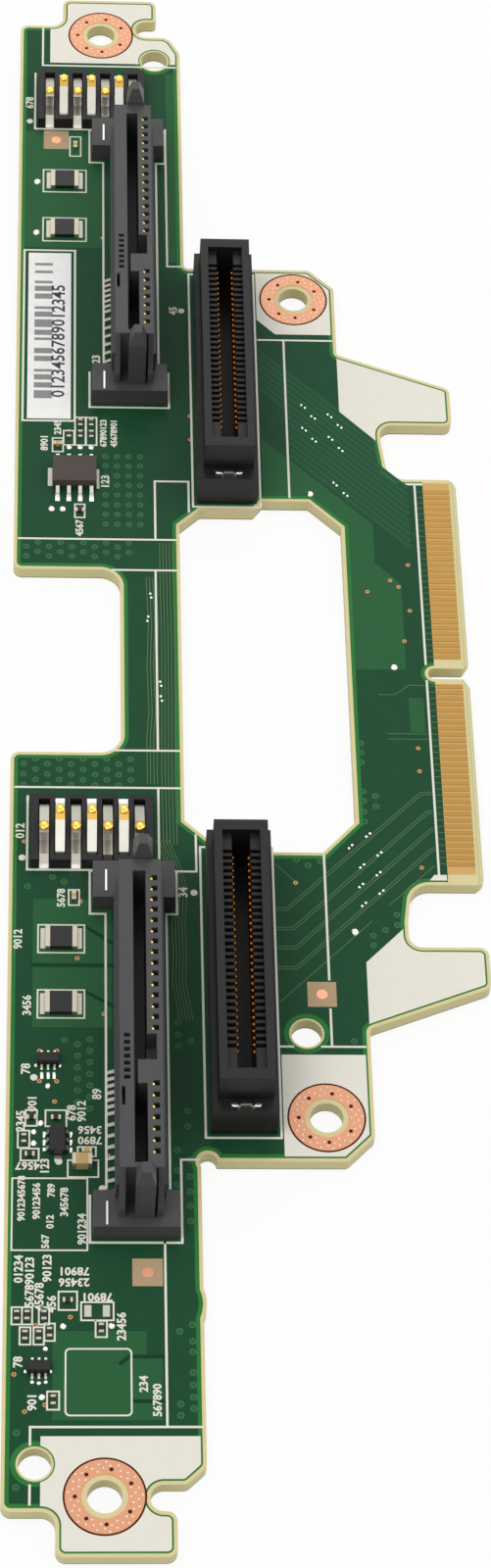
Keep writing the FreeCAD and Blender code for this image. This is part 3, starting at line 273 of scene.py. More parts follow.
def frame_lines(left, right, low, high):
    """The four sides of a rectangle as segments."""
    return run([(left, low), (right, low), (right, high), (left, high), (left, low)])


def rounded_frame(left, right, low, high, radius):
    """A rectangle's four sides with a quarter circle at each corner, in four short steps."""
    corners = ((right - radius, high - radius, 0), (left + radius, high - radius, 90),
               (left + radius, low + radius, 180), (right - radius, low + radius, 270))
    points = [(x + radius * math.cos(math.radians(start + step * 22.5)),
               y + radius * math.sin(math.radians(start + step * 22.5)))
              for x, y, start in corners for step in range(5)]
    return run(points + points[:1])


def shifted(segments, middle):
    """Segments moved from the origin to a middle."""
    return (np.asarray(segments, float) + np.asarray(middle)).tolist()


def numbers(items, top):
    """Plain digits as flat raised print, counting on through 0 to 9 from place to place."""
    parts = []
    used = 0
    for digits, x, y, tall, turn in items:
        curve = bpy.data.curves.new("digits", "FONT")
        curve.body = "".join(str((used + step) % 10) for step in range(digits))
        used += digits
        curve.size = tall * FONT_SIZE
        curve.align_x, curve.align_y = "CENTER", "CENTER"
        curve.extrude = top / 2
        curve.offset = BOLDER
        curve.resolution_u = 2
        holder = bpy.data.objects.new("digits", curve)
        mesh = bpy.data.meshes.new_from_object(holder)
        mesh.calc_loop_triangles()
        points = np.array([corner.co[:] for corner in mesh.vertices])
        faces = np.array([face.vertices[:] for face in mesh.loop_triangles])
        angle = math.radians(turn)
        spin = np.array([[math.cos(angle), math.sin(angle)], [-math.sin(angle), math.cos(angle)]])
        plan = points[:, :2] @ spin + (x, y)
        parts.append((np.c_[plan, points[:, 2] + BOARD_TOP + top / 2], faces))
        bpy.data.objects.remove(holder)
        bpy.data.meshes.remove(mesh)
        bpy.data.curves.remove(curve)
    return joined(parts)


# ---------------------------------------------------------------------------------------------
# Sheets cut to the board
# ---------------------------------------------------------------------------------------------
def rim_edges(triangles, count):
    """Edges that only one triangle uses, each with the sheet on its left."""
    edges = np.concatenate([triangles[:, [0, 1]], triangles[:, [1, 2]], triangles[:, [2, 0]]])
    there = edges[:, 0] * count + edges[:, 1]
    back = edges[:, 1] * count + edges[:, 0]
    return edges[~np.isin(there, back)]


def board_sheet():
    """The board's upper face as points (x, y) and triangles, with its doubled corners merged."""
    mesh = frame["nodes"]["circuit_board"].data
    mesh.calc_loop_triangles()
    place = np.empty(len(mesh.vertices) * 3)
    mesh.vertices.foreach_get("co", place)
    place = place.reshape(-1, 3) / MM
    table = np.empty(len(mesh.loop_triangles) * 3, int)
    mesh.loop_triangles.foreach_get("vertices", table)
    corners = place[table.reshape(-1, 3)]
    upper = corners[(np.abs(corners[:, :, 2] - BOARD_TOP) < 1e-3).all(1)][:, :, :2]
    points, number = np.unique(upper.reshape(-1, 2).round(3), axis=0, return_inverse=True)
    return points, number.reshape(-1, 3)


def rim_loops(points, triangles):
    """The sheet's rims as closed rows of corners, each with the sheet on its left."""
    after = dict(rim_edges(triangles, len(points)).tolist())
    loops = []
    while after:
        row = [next(iter(after))]
        while row[-1] in after:
            row.append(after.pop(row[-1]))
        loops.append(points[row[:-1]])
    return loops


def drawn_in(corners, distance):
    """Draw a closed row of corners in, towards the sheet on its left, by a distance.

    Each side keeps to the line n . p = n . c + distance, n being its inward normal, and each
    new corner p is where two neighbouring lines cross. A side that comes out turned round is
    dropped, so that its neighbours meet instead.
    """
    along = np.roll(corners, -1, 0) - corners
    along /= np.linalg.norm(along, axis=1, keepdims=True)
    last = np.roll(along, 1, 0)
    bends = np.abs(last[:, 0] * along[:, 1] - last[:, 1] * along[:, 0]) > 0.01
    along = along[bends]
    inward = np.stack([-along[:, 1], along[:, 0]], 1)
    reach = (inward * corners[bends]).sum(1) + distance
    while True:
        before, level = np.roll(inward, 1, 0), np.roll(reach, 1)
        turn = before[:, 0] * inward[:, 1] - before[:, 1] * inward[:, 0]
        moved = np.stack([level * inward[:, 1] - reach * before[:, 1],
                          reach * before[:, 0] - level * inward[:, 0]], 1) / turn[:, None]
        forward = ((np.roll(moved, -1, 0) - moved) * along).sum(1)
        if forward.min() > 0:
            return moved
        kept = np.arange(len(reach)) != forward.argmin()
        along, inward, reach = along[kept], inward[kept], reach[kept]


def filled(loops):
    """Fill the space between closed rows of corners with triangles that face up."""
    points = np.concatenate(loops)
    triangles = np.array(tessellate_polygon([[Vector((x, y, 0)) for x, y in row] for row in loops]))
    a, b, c = points[triangles].transpose(1, 0, 2)
    area = (b - a)[:, 0] * (c - a)[:, 1] - (b - a)[:, 1] * (c - a)[:, 0]
    triangles[area < 0] = triangles[area < 0][:, ::-1]
    return points, triangles


def board_inset(edge, screw_hole, tooling_hole):
    """The board's sheet drawn in from its edge and its holes, and cut short of the fingers."""
    tooling = [(np.array(mount["pos_m"][:2]) / MM, mount["dims"]["r_mm"])
               for mount in frame["record"]["mounts"] if mount["kind"] == "bore"]
    holes = [(middle, radius, tooling_hole) for middle, radius in tooling]
    holes += [(middle, SCREW_HOLE_RADIUS, screw_hole) for middle in SCREW_HOLES]
    loops = []
    for row in rim_loops(*board_sheet()):
        distance = next((own for middle, radius, own in holes
                         if np.hypot(*(row - middle).T).max() < radius + 0.1), edge)
        moved = drawn_in(row, distance)
        tongue = np.abs(moved[:, 1]) < TONGUE_HALF
        moved[tongue, 0] = np.minimum(moved[tongue, 0], MASK_RIGHT)
        held = moved[:, 0] == MASK_RIGHT
        loops.append(moved[~(held & np.roll(held, 1) & np.roll(held, -1))])
    return filled(loops)


def clipped(points, triangles, outline):
    """Keep the part of a sheet inside a convex outline given anticlockwise."""
    sheet = bmesh.new()
    corners = [sheet.verts.new((x, y, 0)) for x, y in points]
    for a, b, c in triangles:
        sheet.faces.new((corners[a], corners[b], corners[c]))
    for (x0, y0), (x1, y1) in run(list(outline) + [outline[0]]):
        bmesh.ops.bisect_plane(sheet, geom=sheet.verts[:] + sheet.edges[:] + sheet.faces[:],
                               dist=1e-5, plane_co=(x0, y0, 0), plane_no=(y1 - y0, x0 - x1, 0),
                               clear_outer=True)
    bmesh.ops.triangulate(sheet, faces=sheet.faces[:])
    sheet.verts.index_update()
    kept = np.array([corner.co[:2] for corner in sheet.verts]).reshape(-1, 2)
    faces = np.array([[corner.index for corner in face.verts] for face in sheet.faces])
    sheet.free()
    return kept, faces.reshape(-1, 3).astype(int)


def slab(points, triangles, top):
    """A sheet given thickness: its face at top, its reverse on the laminate, a wall round the rim."""
    count = len(points)
    rim = rim_edges(triangles, count)
    solid = np.vstack([np.c_[points, np.full(count, BOARD_TOP)],
                       np.c_[points, np.full(count, BOARD_TOP + top)]])
    a, b = rim.T
    wall = np.vstack([np.stack([a, b, b + count], 1), np.stack([a, b + count, a + count], 1)])
    return solid, np.vstack([triangles[:, ::-1], triangles + count, wall])


# ---------------------------------------------------------------------------------------------
# Places, in millimetres in the model's frame
# ---------------------------------------------------------------------------------------------
SCREW_HOLE_RADIUS = 1.7
# how far a printed sheet stops from a screw hole, under its copper pad
UNDER_PAD = 0.6
# how far the mask, the copper and the white fields stop from a tooling hole
TOOLING_GAPS = {"mask": 0.22, "copper": 0.75, "fields": 0.35}


def screw_hole_middles():
    """Both ends of each bolt pattern, spaced evenly about its mount along the board."""
    middles = []
    for mount in frame["record"]["mounts"]:
        if mount["kind"] == "bolt_pattern":
            x, y = np.array(mount["pos_m"][:2]) / MM
            half = mount["dims"]["spacing_y_mm"] / 2
            middles += [(x, y - half), (x, y + half)]
    return middles


SCREW_HOLES = screw_hole_middles()
# the tongue reaches this far to each side of Y 0, and the mask on it ends at this X
TONGUE_HALF = 30.0
MASK_RIGHT = 36.3
FINGERS_IN_ROW = 30
FINGER_HALF = 0.275
FINGER_PITCH = 0.8
# bare laminate between the fingers: to the tongue's bevel, and each row's middle and half length
BED_RIGHT = 39.3
BED_MIDDLE = 14.1
BED_HALF = 12.4
BED_TALL = 0.006
# from the low corner of a drive socket's box to the middle of its tongue slot
SLOT_FROM_CORNER = (4.62, 20.67)


def drive_middle(number):
    """The middle of a drive socket's tongue slot."""
    low = node_box("drive_socket_housing_%d" % number)[0]
    return low[0] + SLOT_FROM_CORNER[0], low[1] + SLOT_FROM_CORNER[1]


def box_middle(name):
    """The middle of a node's box, seen from above."""
    return tuple(node_box(name).mean(0)[:2])


# white legend: long lines over the board
BOARD_LINES = (
    run([(9.3, -89.8), (-7.1, -89.8), (-7.1, -91.6)]) + run([(-7.1, -95.8), (-7.1, -97.7)])
    + run([(5.99, -70.1), (5.99, -89.7)])
    + run([(-9.3, -15.8), (8.2, -15.8)]) + run([(5.9, -15.8), (5.9, -25.2)])
    + run([(1.1, -10.93), (8.2, -10.93)]) + run([(1.1, 13.54), (8.2, 13.54)])
    + run([(5.92, -10.9), (5.92, 13.5)])
    + run([(-9.3, 17.85), (8.2, 17.85)])
    + run([(5.95, 17.9), (5.95, 26.25), (9.75, 26.25), (9.75, 21.9)])
    + run([(9.1, 91.6), (-7.1, 91.6), (-7.1, 98.0)])
    + run([(21.14, 24.2), (21.14, 47.6)]) + run([(18.2, 47.6), (26.7, 47.6)])
    + run([(23.31, -24.3), (23.31, -39.6)]) + run([(23.31, -43.2), (23.31, -47.6)])
    + run([(18.1, -47.65), (19.3, -47.65)]) + run([(22.3, -47.65), (26.7, -47.65)])
    + run([(35.39, 26.0), (35.39, 1.0)]) + run([(35.39, -1.3), (35.39, -26.6)])
)
# legend round a drive socket, from the middle of its slot
DRIVE_LINES = (
    run([(-3.26, -15.1), (-3.26, 17.18), (-4.9, 17.18), (-4.9, 22.53), (4.2, 22.53), (4.2, 17.18),
         (3.08, 17.18), (3.08, -15.1)])
    + run([(-4.9, -15.97), (-4.9, -21.17), (4.2, -21.17), (4.2, -15.97)])
)
LOWER_DRIVE_LINES = (run([(4.2, -21.17), (4.2, -11.87), (5.9, -11.87)])
                     + run([(4.2, 22.53), (6.3, 22.53), (6.3, 27.1)]))
UPPER_DRIVE_LINES = run([(4.25, 22.8), (4.25, 0.6), (6.1, 0.6)])
CARD_FRAME = (-3.85, 3.77, -17.4, 17.6)
SPRING_LINES = run([(6.9, -4.5), (-6.8, -4.5), (-6.8, 4.8)])
# frames round small parts: left, right, low, high
PART_FRAMES = (
    (-6.75, -1.95, -44.4, -41.05), (-6.75, -1.95, -36.55, -33.15), (-6.9, -1.8, 62.6, 66.3),
    (-6.9, -1.8, 70.5, 74.1), (-3.6, -2.5, -30.7, -28.8), (-3.75, -2.45, 76.4, 79.6),
    (-7.85, -6.7, -57.0, -55.2), (-5.85, -3.75, -57.05, -55.2), (-8.6, -7.45, -59.5, -57.55),
    (-8.3, -6.5, -60.95, -59.6), (-2.6, -0.8, -60.45, -59.4), (-3.6, -0.55, -62.8, -60.9),
    (-4.45, -2.65, -77.45, -75.45), (-2.25, 0.9, -78.55, -76.6), (-0.85, 0.25, -80.35, -78.6),
    (-9.0, -8.0, -79.0, -77.15), (-8.0, -7.0, -79.0, -77.15), (-6.35, -5.35, -79.0, -77.15),
    (-8.2, -7.15, -81.15, -79.3), (-6.85, -5.85, -81.15, -79.3), (-5.8, -4.8, -80.75, -78.9),
    (-5.5, -4.35, -88.0, -86.1), (-3.05, -1.95, 20.9, 22.8), (-5.6, -4.4, 30.4, 32.4),
    (-4.35, -3.15, 31.4, 33.5), (-3.05, -1.85, 31.4, 35.5), (-1.8, -0.6, 31.4, 35.5),
    (-9.1, -1.65, -70.95, -62.95),
)
BLANK_FRAME = (-3.75, 2.6, -88.6, -81.6)
BLANK_FRAME_CORNER = 0.45
LABEL_FRAME = (-9.05, -3.1, 34.95, 61.1)
CHIP_BARS = ((-6.1, -5.6, 25.4, 28.0), (-0.6, -0.3, 25.1, 27.9))
LEGEND_DOTS = (
    (9.5, -29.05), (9.3, 51.9), (-8.5, -24.8), (-8.6, 82.1), (-0.15, -64.1), (-7.05, -51.4),
    (-4.5, -61.05),
)
LEGEND_DOT = 0.38
# white fields of the legend, as convex outlines that cut the board's sheet
WHITE_FIELDS = (
    ((-6.1, -104), (12, -104), (12, -90.75), (-6.1, -90.75)),
    ((-6.2, 92.1), (12, 92.1), (12, 104), (-6.2, 104)),
    ((18.1, -62), (28, -62), (28, -48.6), (18.1, -48.6)),
    ((18.1, 50.7), (20.2, 48.5), (28, 48.5), (28, 60), (18.1, 60)),
    ((27.25, 36.9), (31.4, 32.5), (41, 32.5), (41, 47), (27.25, 47)),
    ((27.25, -47), (41, -47), (41, -33.3), (31.35, -33.3), (27.25, -37.5)),
    ((34.6, 26.15), (36.3, 26.15), (36.3, 27), (33.6, 27)),
    ((34.3, -27.4), (36.2, -27.4), (36.2, -26.6), (34.9, -26.6)),
)
# lighter copper pours under the mask
POURS = (
    ((-7.3, -37.8), (0.9, -37.8), (0.9, -29.95), (-7.3, -29.95)),
    ((-7.3, -45.5), (0.9, -45.5), (0.9, -38.3), (-7.3, -38.3)),
    ((-5.0, -89.1), (5.6, -89.1), (5.6, -82.4), (-5.0, -82.4)),
    ((-5.0, -82.4), (4.1, -82.4), (4.1, -79.7), (-5.0, -79.7)),
    ((18.2, 20), (30.4, 20), (30.4, 20.5), (18.2, 32.7)),
    ((26, 0.2), (33.2, 0.2), (33.2, 12), (30.4, 15), (26, 15)),
    ((26, 15), (30.4, 15), (30.4, 20), (26, 20)),
    ((33.3, -8.2), (34.9, -8.2), (34.9, -3.6), (33.3, -3.6)),
    ((-9.0, 61.6), (0.0, 61.6), (0.0, 80.4), (-9.0, 80.4)),
    ((7.9, 59.5), (9.2, 59.5), (9.2, 90.5), (7.9, 90.5)),
)
# gaps between pours, seen as dark bands
DARK_BANDS = (
    run([(-1.9, -33.3), (0.9, -35.3)]) + run([(-1.9, -41.2), (0.9, -42.9)])
    + run([(5.6, -82.4), (2.4, -82.4), (1.6, -83.1)]) + run([(2.8, -87.1), (5.6, -87.1)])
    + run([(-7.3, -38.05), (0.9, -38.05)])
)
DARK_BAND_WIDE = 0.4
# diagonal signal pairs of the lower right plate: start of each pair at the card socket
PAIR_STARTS = ((19.2, -31.0), (19.8, -33.4), (20.0, -35.75), (20.0, -38.2))
PAIR_PITCH = 0.3
PAIR_ENDS = (34.0, 34.6, 34.9, 34.9)
BROAD_TRACK_WIDE = 0.5
# a covered via: radius of its ring and of the mound inside, and the mound's height
TENTED_RING = 0.36
TENTED_VIA = 0.24
TENTED_TALL = 0.012
# open via rings
COPPER_VIAS = (
    (-5.7, -87.5), (-7.65, -88.2), (-8.7, -84.3), (-3.3, -78.2), (-6.7, -79.1), (-8.3, -22.75),
    (0.05, -43.9), (-2.7, -37.2), (-2.4, -30.2), (-6.5, -48.3), (-4.75, -48.3), (-6.5, -51.85),
    (-4.75, -51.85), (-4.95, -54.2), (-7.25, -55.15), (0.4, -60.4), (0.35, 46.8), (34.0, -10.3),
    (34.0, -13.3), (33.6, -25.7), (20.2, -27.7), (34.1, 14.7), (32.0, 12.5), (32.9, 11.6),
    (29.4, 10.9), (34.0, 8.3), (33.2, 4.1), (10.05, 35.9), (10.05, 32.4), (0.15, 63.2),
)
# bare solder domes: x, y, then radius
SOLDER_DOMES = (
    (26.2, -33.8, 0.45), (31.9, 0.5, 0.42), (23.5, 24.7, 0.4), (-3.7, 31.05, 0.36),
    (-2.45, 31.05, 0.36), (-1.2, 31.05, 0.36), (-5.65, 22.1, 0.4), (-4.4, 22.1, 0.4),
    (-6.85, -50.0, 0.2), (-4.4, -50.05, 0.2), (-5.6, -52.4, 0.34), (-6.3, -56.7, 0.36),
    (-7.0, -57.7, 0.33), (-7.0, -59.0, 0.36), (-5.95, -58.2, 0.2), (-5.95, -59.1, 0.2),
    (-3.3, -58.2, 0.2), (-3.3, -59.1, 0.2), (-3.3, -59.9, 0.2), (-4.0, -79.2, 0.36),
    (0.7, -79.15, 0.36), (-5.7, -81.6, 0.28), (-6.0, -86.7, 0.36), (-6.95, -85.1, 0.22),
    (-6.3, -85.2, 0.24), (-5.65, -85.1, 0.22), (-7.6, -84.0, 0.2), (-5.2, -84.0, 0.2),
    (-7.6, 72.1, 0.45), (-7.65, 63.9, 0.45), (-6.25, -50.95, 0.2), (-5.6, -50.95, 0.2),
    (-5.0, -50.95, 0.2),
)
# height of a solder dome as a share of its radius
DOME_RISE = 0.6
# dull solder beyond the ends of the power resistors: left, right, low, high
RESISTOR_PADS = [(left, left + 0.5, low, high)
                 for low, high in ((-36.1, -33.6), (-44.0, -41.5), (63.1, 65.8), (71.0, 73.6))
                 for left in (-6.5, -2.7)]
# two wide pads that carry solder and no part
RESISTOR_PADS += [(left, left + 0.7, -78.2, -76.95) for left in (-1.95, -0.15)]
RESISTOR_PAD_TALL = 0.12
# bright solder pads that stand a little proud
SOLDER_PADS = [(left, left + 0.5, 23.2, 24.3) for left in (-5.25, -3.98, -2.7, -1.43)]
SOLDER_PADS += [(-4.95, -4.2, -61.0, -60.4)]
SOLDER_PADS += [(left, left + 0.3, -51.6, -50.8) for left in (-6.4, -5.75, -5.15)]
SOLDER_PAD_TALL = 0.09
FIDUCIALS = ((4.25, -73.35), (22.5, -41.4), (-5.4, 79.05))
FIDUCIAL_HALF = 1.5
FIDUCIAL_DOT = 0.58
# screw pads: vias round the hole, by their turns in degrees, their distance and their radius
PAD_VIA_TURNS = (77, 128, 180, 232, 273, 327, 28)
PAD_VIA_REACH = 2.83
PAD_VIA = 0.21
# solder dots: how many, the belt they fill, radius and height, and how far they keep from a via
PAD_DOTS = 58
PAD_DOT_REACH = (2.45, 3.62)
PAD_DOT = (0.12, 0.05)
PAD_DOT_CLEAR = 0.35
# the dark rim round a pad, its outer and inner radius
PAD_RIM = (3.99, 3.78)
# pale test dots in pairs along the signal pairs: the first dot, then the step to the second
DOT_PAIRS = (
    (26.0, -23.3, 0.35, 0.4), (27.9, -21.8, 0.4, 0.4), (27.1, -25.75, 0.4, 0.4),
    (29.0, -24.2, 0.4, 0.4), (26.9, -28.2, 0.4, 0.4), (28.8, -26.7, 0.4, 0.4),
    (27.1, -30.55, 0.4, 0.4), (29.0, -29.0, 0.4, 0.4), (22.9, 37.8, 0.4, -0.4),
    (24.0, 36.15, 0.4, -0.35), (25.9, 36.45, 0.4, -0.4), (27.0, 34.9, 0.4, -0.4),
    (22.9, 34.4, 0.4, -0.4), (24.0, 32.8, 0.4, -0.4), (25.9, 33.1, 0.4, -0.4),
    (27.0, 31.5, 0.4, -0.45), (26.2, 26.4, 0.35, -0.4), (27.3, 24.9, 0.4, -0.4),
    (5.3, 10.3, 0.1, -0.55), (5.05, 7.1, -0.1, -0.6), (6.25, -1.75, 0.12, -0.55),
    (6.3, -3.7, 0.12, -0.6),
)
# radius and height of a test dot
TEST_DOT = (0.15, 0.06)
# contacts of a drive socket, by kind and count, and how far their gold tips stand left and up
DRIVE_CONTACTS = (("power", 15), ("signal", 7))
DRIVE_CONTACT_WIDE = 0.3
DRIVE_TIP_LEFT = 0.04
DRIVE_TIP_UP = 0.22
# a row of card contacts, how high their tips are, and how far the tips stand into the slot
CARD_CONTACTS = 30
CARD_CONTACT_WIDE = 0.35
CARD_TIP_TALL = 6.4
CARD_TIP_IN = 0.03
CLIP_END_IN = 0.4
# springs that point each way: how many, and their tips' distance from the block's middle
FORWARD_SPRINGS = (4, -0.95)
BACKWARD_SPRINGS = (3, 1.15)
# half sizes of the rounded tips along X, Y and Z
SPRING_DIMPLE = (0.46, 0.55, 0.2)
DRIVE_TIP = (0.19, 0.2, 0.16)
CARD_TIP = (0.15, 0.2, 0.24)
CLIP_END = (0.4, 0.16, 0.12)
# label bars: widths of bars and gaps in turn, in modules, from a foot above the label's low edge
LABEL_BARS = "3121211321231121312113212113121"
LABEL_MODULE = 0.4
LABEL_FOOT = 3.0
LABEL_BAR_SPAN = (0.75, 2.85)
# the label's digits: how many, their place from its left edge and middle, and their height
LABEL_DIGITS = 16
LABEL_DIGITS_AT = (3.6, -0.9)
LABEL_DIGIT_TALL = 1.6
# plain running numbers beside the parts: how many digits, x, y, height, turn in degrees
PLAIN_NUMBERS = (
    (3, -8.7, -21.4, 0.95, 90), (2, 8.4, -29.0, 0.95, 90), (4, -4.35, -29.8, 0.85, 90),
    (4, -8.8, -34.9, 0.9, 90), (4, -7.8, -42.9, 0.9, 90), (2, -7.85, -50.4, 0.95, 90),
    (3, -7.15, -54.4, 0.9, 90), (4, -8.3, -56.45, 0.9, 90), (3, -3.2, -55.5, 0.9, 90),
    (4, -2.2, -55.3, 0.9, 90), (4, -1.4, -57.4, 0.9, 180), (4, -1.4, -58.6, 0.9, 180),
    (3, -5.85, -61.6, 0.9, 90), (4, -7.6, -61.5, 0.9, 180), (2, -0.65, -53.3, 0.95, 90),
    (5, -8.35, -73.0, 0.9, 90), (9, -7.25, -74.4, 0.9, 90), (5, -6.3, -76.0, 0.9, 90),
    (5, -5.55, -72.9, 0.9, 90), (3, -5.1, -76.8, 0.9, 90), (5, -2.95, -73.2, 0.9, 180),
    (5, -2.95, -74.4, 0.9, 180), (5, -0.7, -76.0, 0.9, 180), (5, 1.7, -79.2, 0.9, 90),
    (2, -8.3, -83.0, 0.9, 90), (3, -6.9, -87.2, 0.9, 90), (3, 3.8, -85.3, 0.85, 90),
    (6, 5.1, -87.0, 0.85, 90), (3, 0.4, 26.1, 0.95, 90), (4, -2.5, 19.4, 0.85, 90),
    (4, -6.5, 31.7, 0.85, 90), (4, -5.0, 34.0, 0.8, 90), (8, 0.2, 33.2, 0.75, 90),
    (8, 1.4, 33.2, 0.75, 90), (2, -0.6, 44.3, 0.95, 90), (2, 8.4, 51.9, 0.95, 90),
    (3, -8.6, 85.2, 0.95, 90), (10, -8.15, -65.2, 0.75, 90), (8, -6.65, -65.5, 0.75, 90),
    (3, -5.2, -64.3, 0.75, 90), (3, -5.3, -67.8, 0.75, 90), (6, -3.9, -65.6, 0.8, 90),
    (6, -2.15, -68.6, 0.85, 90), (3, -5.75, -70.0, 0.75, 90),
)


def spaced(low, high, count, wide):
    """Middles of a row of equal things, each as wide as given, between the row's two ends."""
    return np.linspace(low + wide / 2, high - wide / 2, count)


def spring_dimples(number):
    """The round tops of seven springs; both rows share one pitch, which their spans give."""
    forward = node_box("forward_springs_%d" % number)
    backward = node_box("backward_springs_%d" % number)
    middle = box_middle("spring_block_housing_%d" % number)[1]
    spans = [box[1, 0] - box[0, 0] for box in (forward, backward)]
    wide = spans[0] - 3 * (spans[0] - spans[1])
    rows = ((forward, *FORWARD_SPRINGS), (backward, *BACKWARD_SPRINGS))
    return [(x, middle + along, box[1, 2]) for box, count, along in rows
            for x in spaced(box[0, 0], box[1, 0], count, wide)]


def tented_vias():
    """Covered vias: staggered grids beside the notch, then columns along the sockets."""
    x = -8.45 + 1.27 * np.arange(10)
    low = [(at, -12.75 + 0.65 * (index % 2) - 1.35 * row)
           for index, at in enumerate(x) for row in range(3)]
    top = [(at, 16.75 + 0.6 * (index % 2) - 1.35 * row)
           for index, at in enumerate(x) for row in range(2)]
    beside = [(8.55, y) for y in (-60.8, -62.7, -64.4, -66.0, -67.7, -79.0, -80.8, -81.9, -84.1, -85.4,
                                  -86.7, -87.9)]
    beside += [(7.3, y) for y in (-59.7, -62.0, -63.6, -65.2, -79.7, -87.4, -88.6)]
    beside += [(7.6, -44.8), (7.6, -46.3), (7.6, -47.6), (8.9, -47.0), (8.4, -55.2), (8.4, -57.0)]
    beside += [(-2.65, -47.5 - 1.35 * row) for row in range(6)]
    beside += [(-1.4, -46.9 - 1.35 * row) for row in range(7)]
    beside += [(-4.0, -47.0), (-7.9, -28.4), (-5.3, -27.2), (-4.1, -27.8), (-8.4, -90.4), (-8.4, -96.0)]
    beside += [(27.8, y) for y in (-9.7, -10.9, -12.2, -16.0, -17.2, -18.6, -19.9)]
    beside += [(29.1, -16.6), (29.1, -17.9), (20.4, -24.8), (21.6, -25.5), (22.9, -25.0), (30.7, -31.6),
               (30.7, -32.9), (29.4, -33.5), (28.1, -34.2), (28.1, -35.4), (25.6, -47.0)]
    beside += [(0.4 + 1.3 * step, 20.0 + 1.4 * row) for step in range(4) for row in range(8)]
    return [(at, y) for at, y in low + top + beside if not (at < 2.5 and -11.4 < y < 14.6)]


def covered_tracks():
    """Thin covered tracks: diagonal signal pairs, tracks beside the window and short stubs."""
    lines = []
    for (x, y), end in zip(PAIR_STARTS, PAIR_ENDS):
        for step in (-PAIR_PITCH / 2, PAIR_PITCH / 2):
            lines += run([(18.0, y + step), (x - step * 0.4, y + step),
                          (end - step * 0.4, y + step + end - x), (35.1, y + step + end - x)])
    lines += run([(18.2, -42.3), (28.0, -32.5)]) + run([(30.0, -30.4), (34.9, -25.5)])
    lines += run([(18.2, -25.4), (20.0, -27.4)])
    for step in range(4):
        x = 4.75 + 0.36 * step
        lines += run([(x, -15.2), (x, -9.0), (x + 0.25, -6.0), (x + 0.1, 0.5), (x + 0.3, 6.0),
                      (x + 0.1, 12.5)])
    for step in range(5):
        x = 6.4 + 0.36 * step
        lines += run([(x, -23.0), (x - 0.1, -14.0), (x, -5.0), (x + 0.08, 4.0), (x, 13.0), (x, 17.4)])
    for step in range(5):
        x = 6.8 + 0.34 * step
        lines += run([(x - 1.2, -22.5), (x, -25.8), (x + 0.6, -28.5), (x + 0.35, -33.0),
                      (x + 0.45, -36.5), (x + 0.3, -40.0), (x + 1.0, -44.5)])
    lines += run([(30.0, -3.2), (31.8, -3.2), (33.4, -1.9), (35.1, -1.9)])
    low, high = node_box("edge_contacts")[:, 1]
    for step in range(FINGERS_IN_ROW):
        reach = FINGER_HALF + FINGER_PITCH * step
        lines += [((35.6, y), (MASK_RIGHT - 0.1, y)) for y in (low + reach, high - reach)]
    lines += run([(30.8, -8.4), (35.1, -8.4)]) + run([(30.8, -9.1), (35.1, -9.1)])
    return lines


def diagonal_bands():
    """Broad covered tracks of the upper right plate, at 45 degrees and 0.95 mm apart."""
    lines = []
    for y in np.arange(45.8, 33.2, -0.95):
        end = 31.0 if y > 42.0 else 34.4
        start = 18.3 if y > 40 else 21.6
        lines.append(((start, y - (start - 18.3)), (end, y - (end - 18.3))))
    return lines


# ---------------------------------------------------------------------------------------------
# Materials
# ---------------------------------------------------------------------------------------------
# a wave texture repeats 20 / (2 pi) times a unit at scale 1: this makes it about once a unit
WAVE_SCALE = 0.31
# places of a Mix node's two colours among its inputs, and of the mixed one among its outputs
FIRST, SECOND, MIXED = 6, 7, 2


def add_node(tree, kind, values=None, **settings):
    """Add a node, set it up, and give inputs, by name or place, a constant or a node's output."""
    new = tree.nodes.new("ShaderNode" + kind)
    for name, value in settings.items():
        setattr(new, name, value)
    for name, value in (values or {}).items():
        if isinstance(value, bpy.types.NodeSocket):
            tree.links.new(value, new.inputs[name])
        else:
            new.inputs[name].default_value = value
    return new


def start_material(name, values):
    """A new material: its node tree, its shader set to the values, and coordinates in metres."""
    material = bpy.data.materials.new(name)
    material.use_nodes = True
    tree = material.node_tree
    tree.nodes.clear()
    shader = add_node(tree, "BsdfPrincipled", values)
    add_node(tree, "OutputMaterial", {"Surface": shader.outputs["BSDF"]})
    place = add_node(tree, "TexCoord").outputs["Object"]
    return tree, shader, place


def shade(base, factor):
    """A colour made lighter or darker by a factor, with its alpha kept."""
    return (*[min(part * factor, 1.0) for part in base[:3]], 1.0)


def vary(tree, place, base, spread, grain_mm):
    """The base colour between two near shades, mixed by noise whose grain is in millimetres."""
    noise = add_node(tree, "TexNoise", {"Vector": place, "Scale": 1 / (grain_mm * MM), "Detail": 3.0})
    mix = add_node(tree, "Mix", {"Factor": noise.outputs["Fac"], FIRST: shade(base, 1 - spread),
                                 SECOND: shade(base, 1 + spread)}, data_type="RGBA")
    return noise, mix.outputs[MIXED]


def relief(tree, shader, height, strength, depth_mm, edge_mm=0.0):
    """Bump from a height, over edges rounded by a radius in millimetres."""
    values = {"Height": height, "Strength": strength, "Distance": depth_mm * MM}
    if edge_mm:
        values["Normal"] = add_node(tree, "Bevel", {"Radius": edge_mm * MM}, samples=4).outputs["Normal"]
    bump = add_node(tree, "Bump", values)
    tree.links.new(bump.outputs["Normal"], shader.inputs["Normal"])


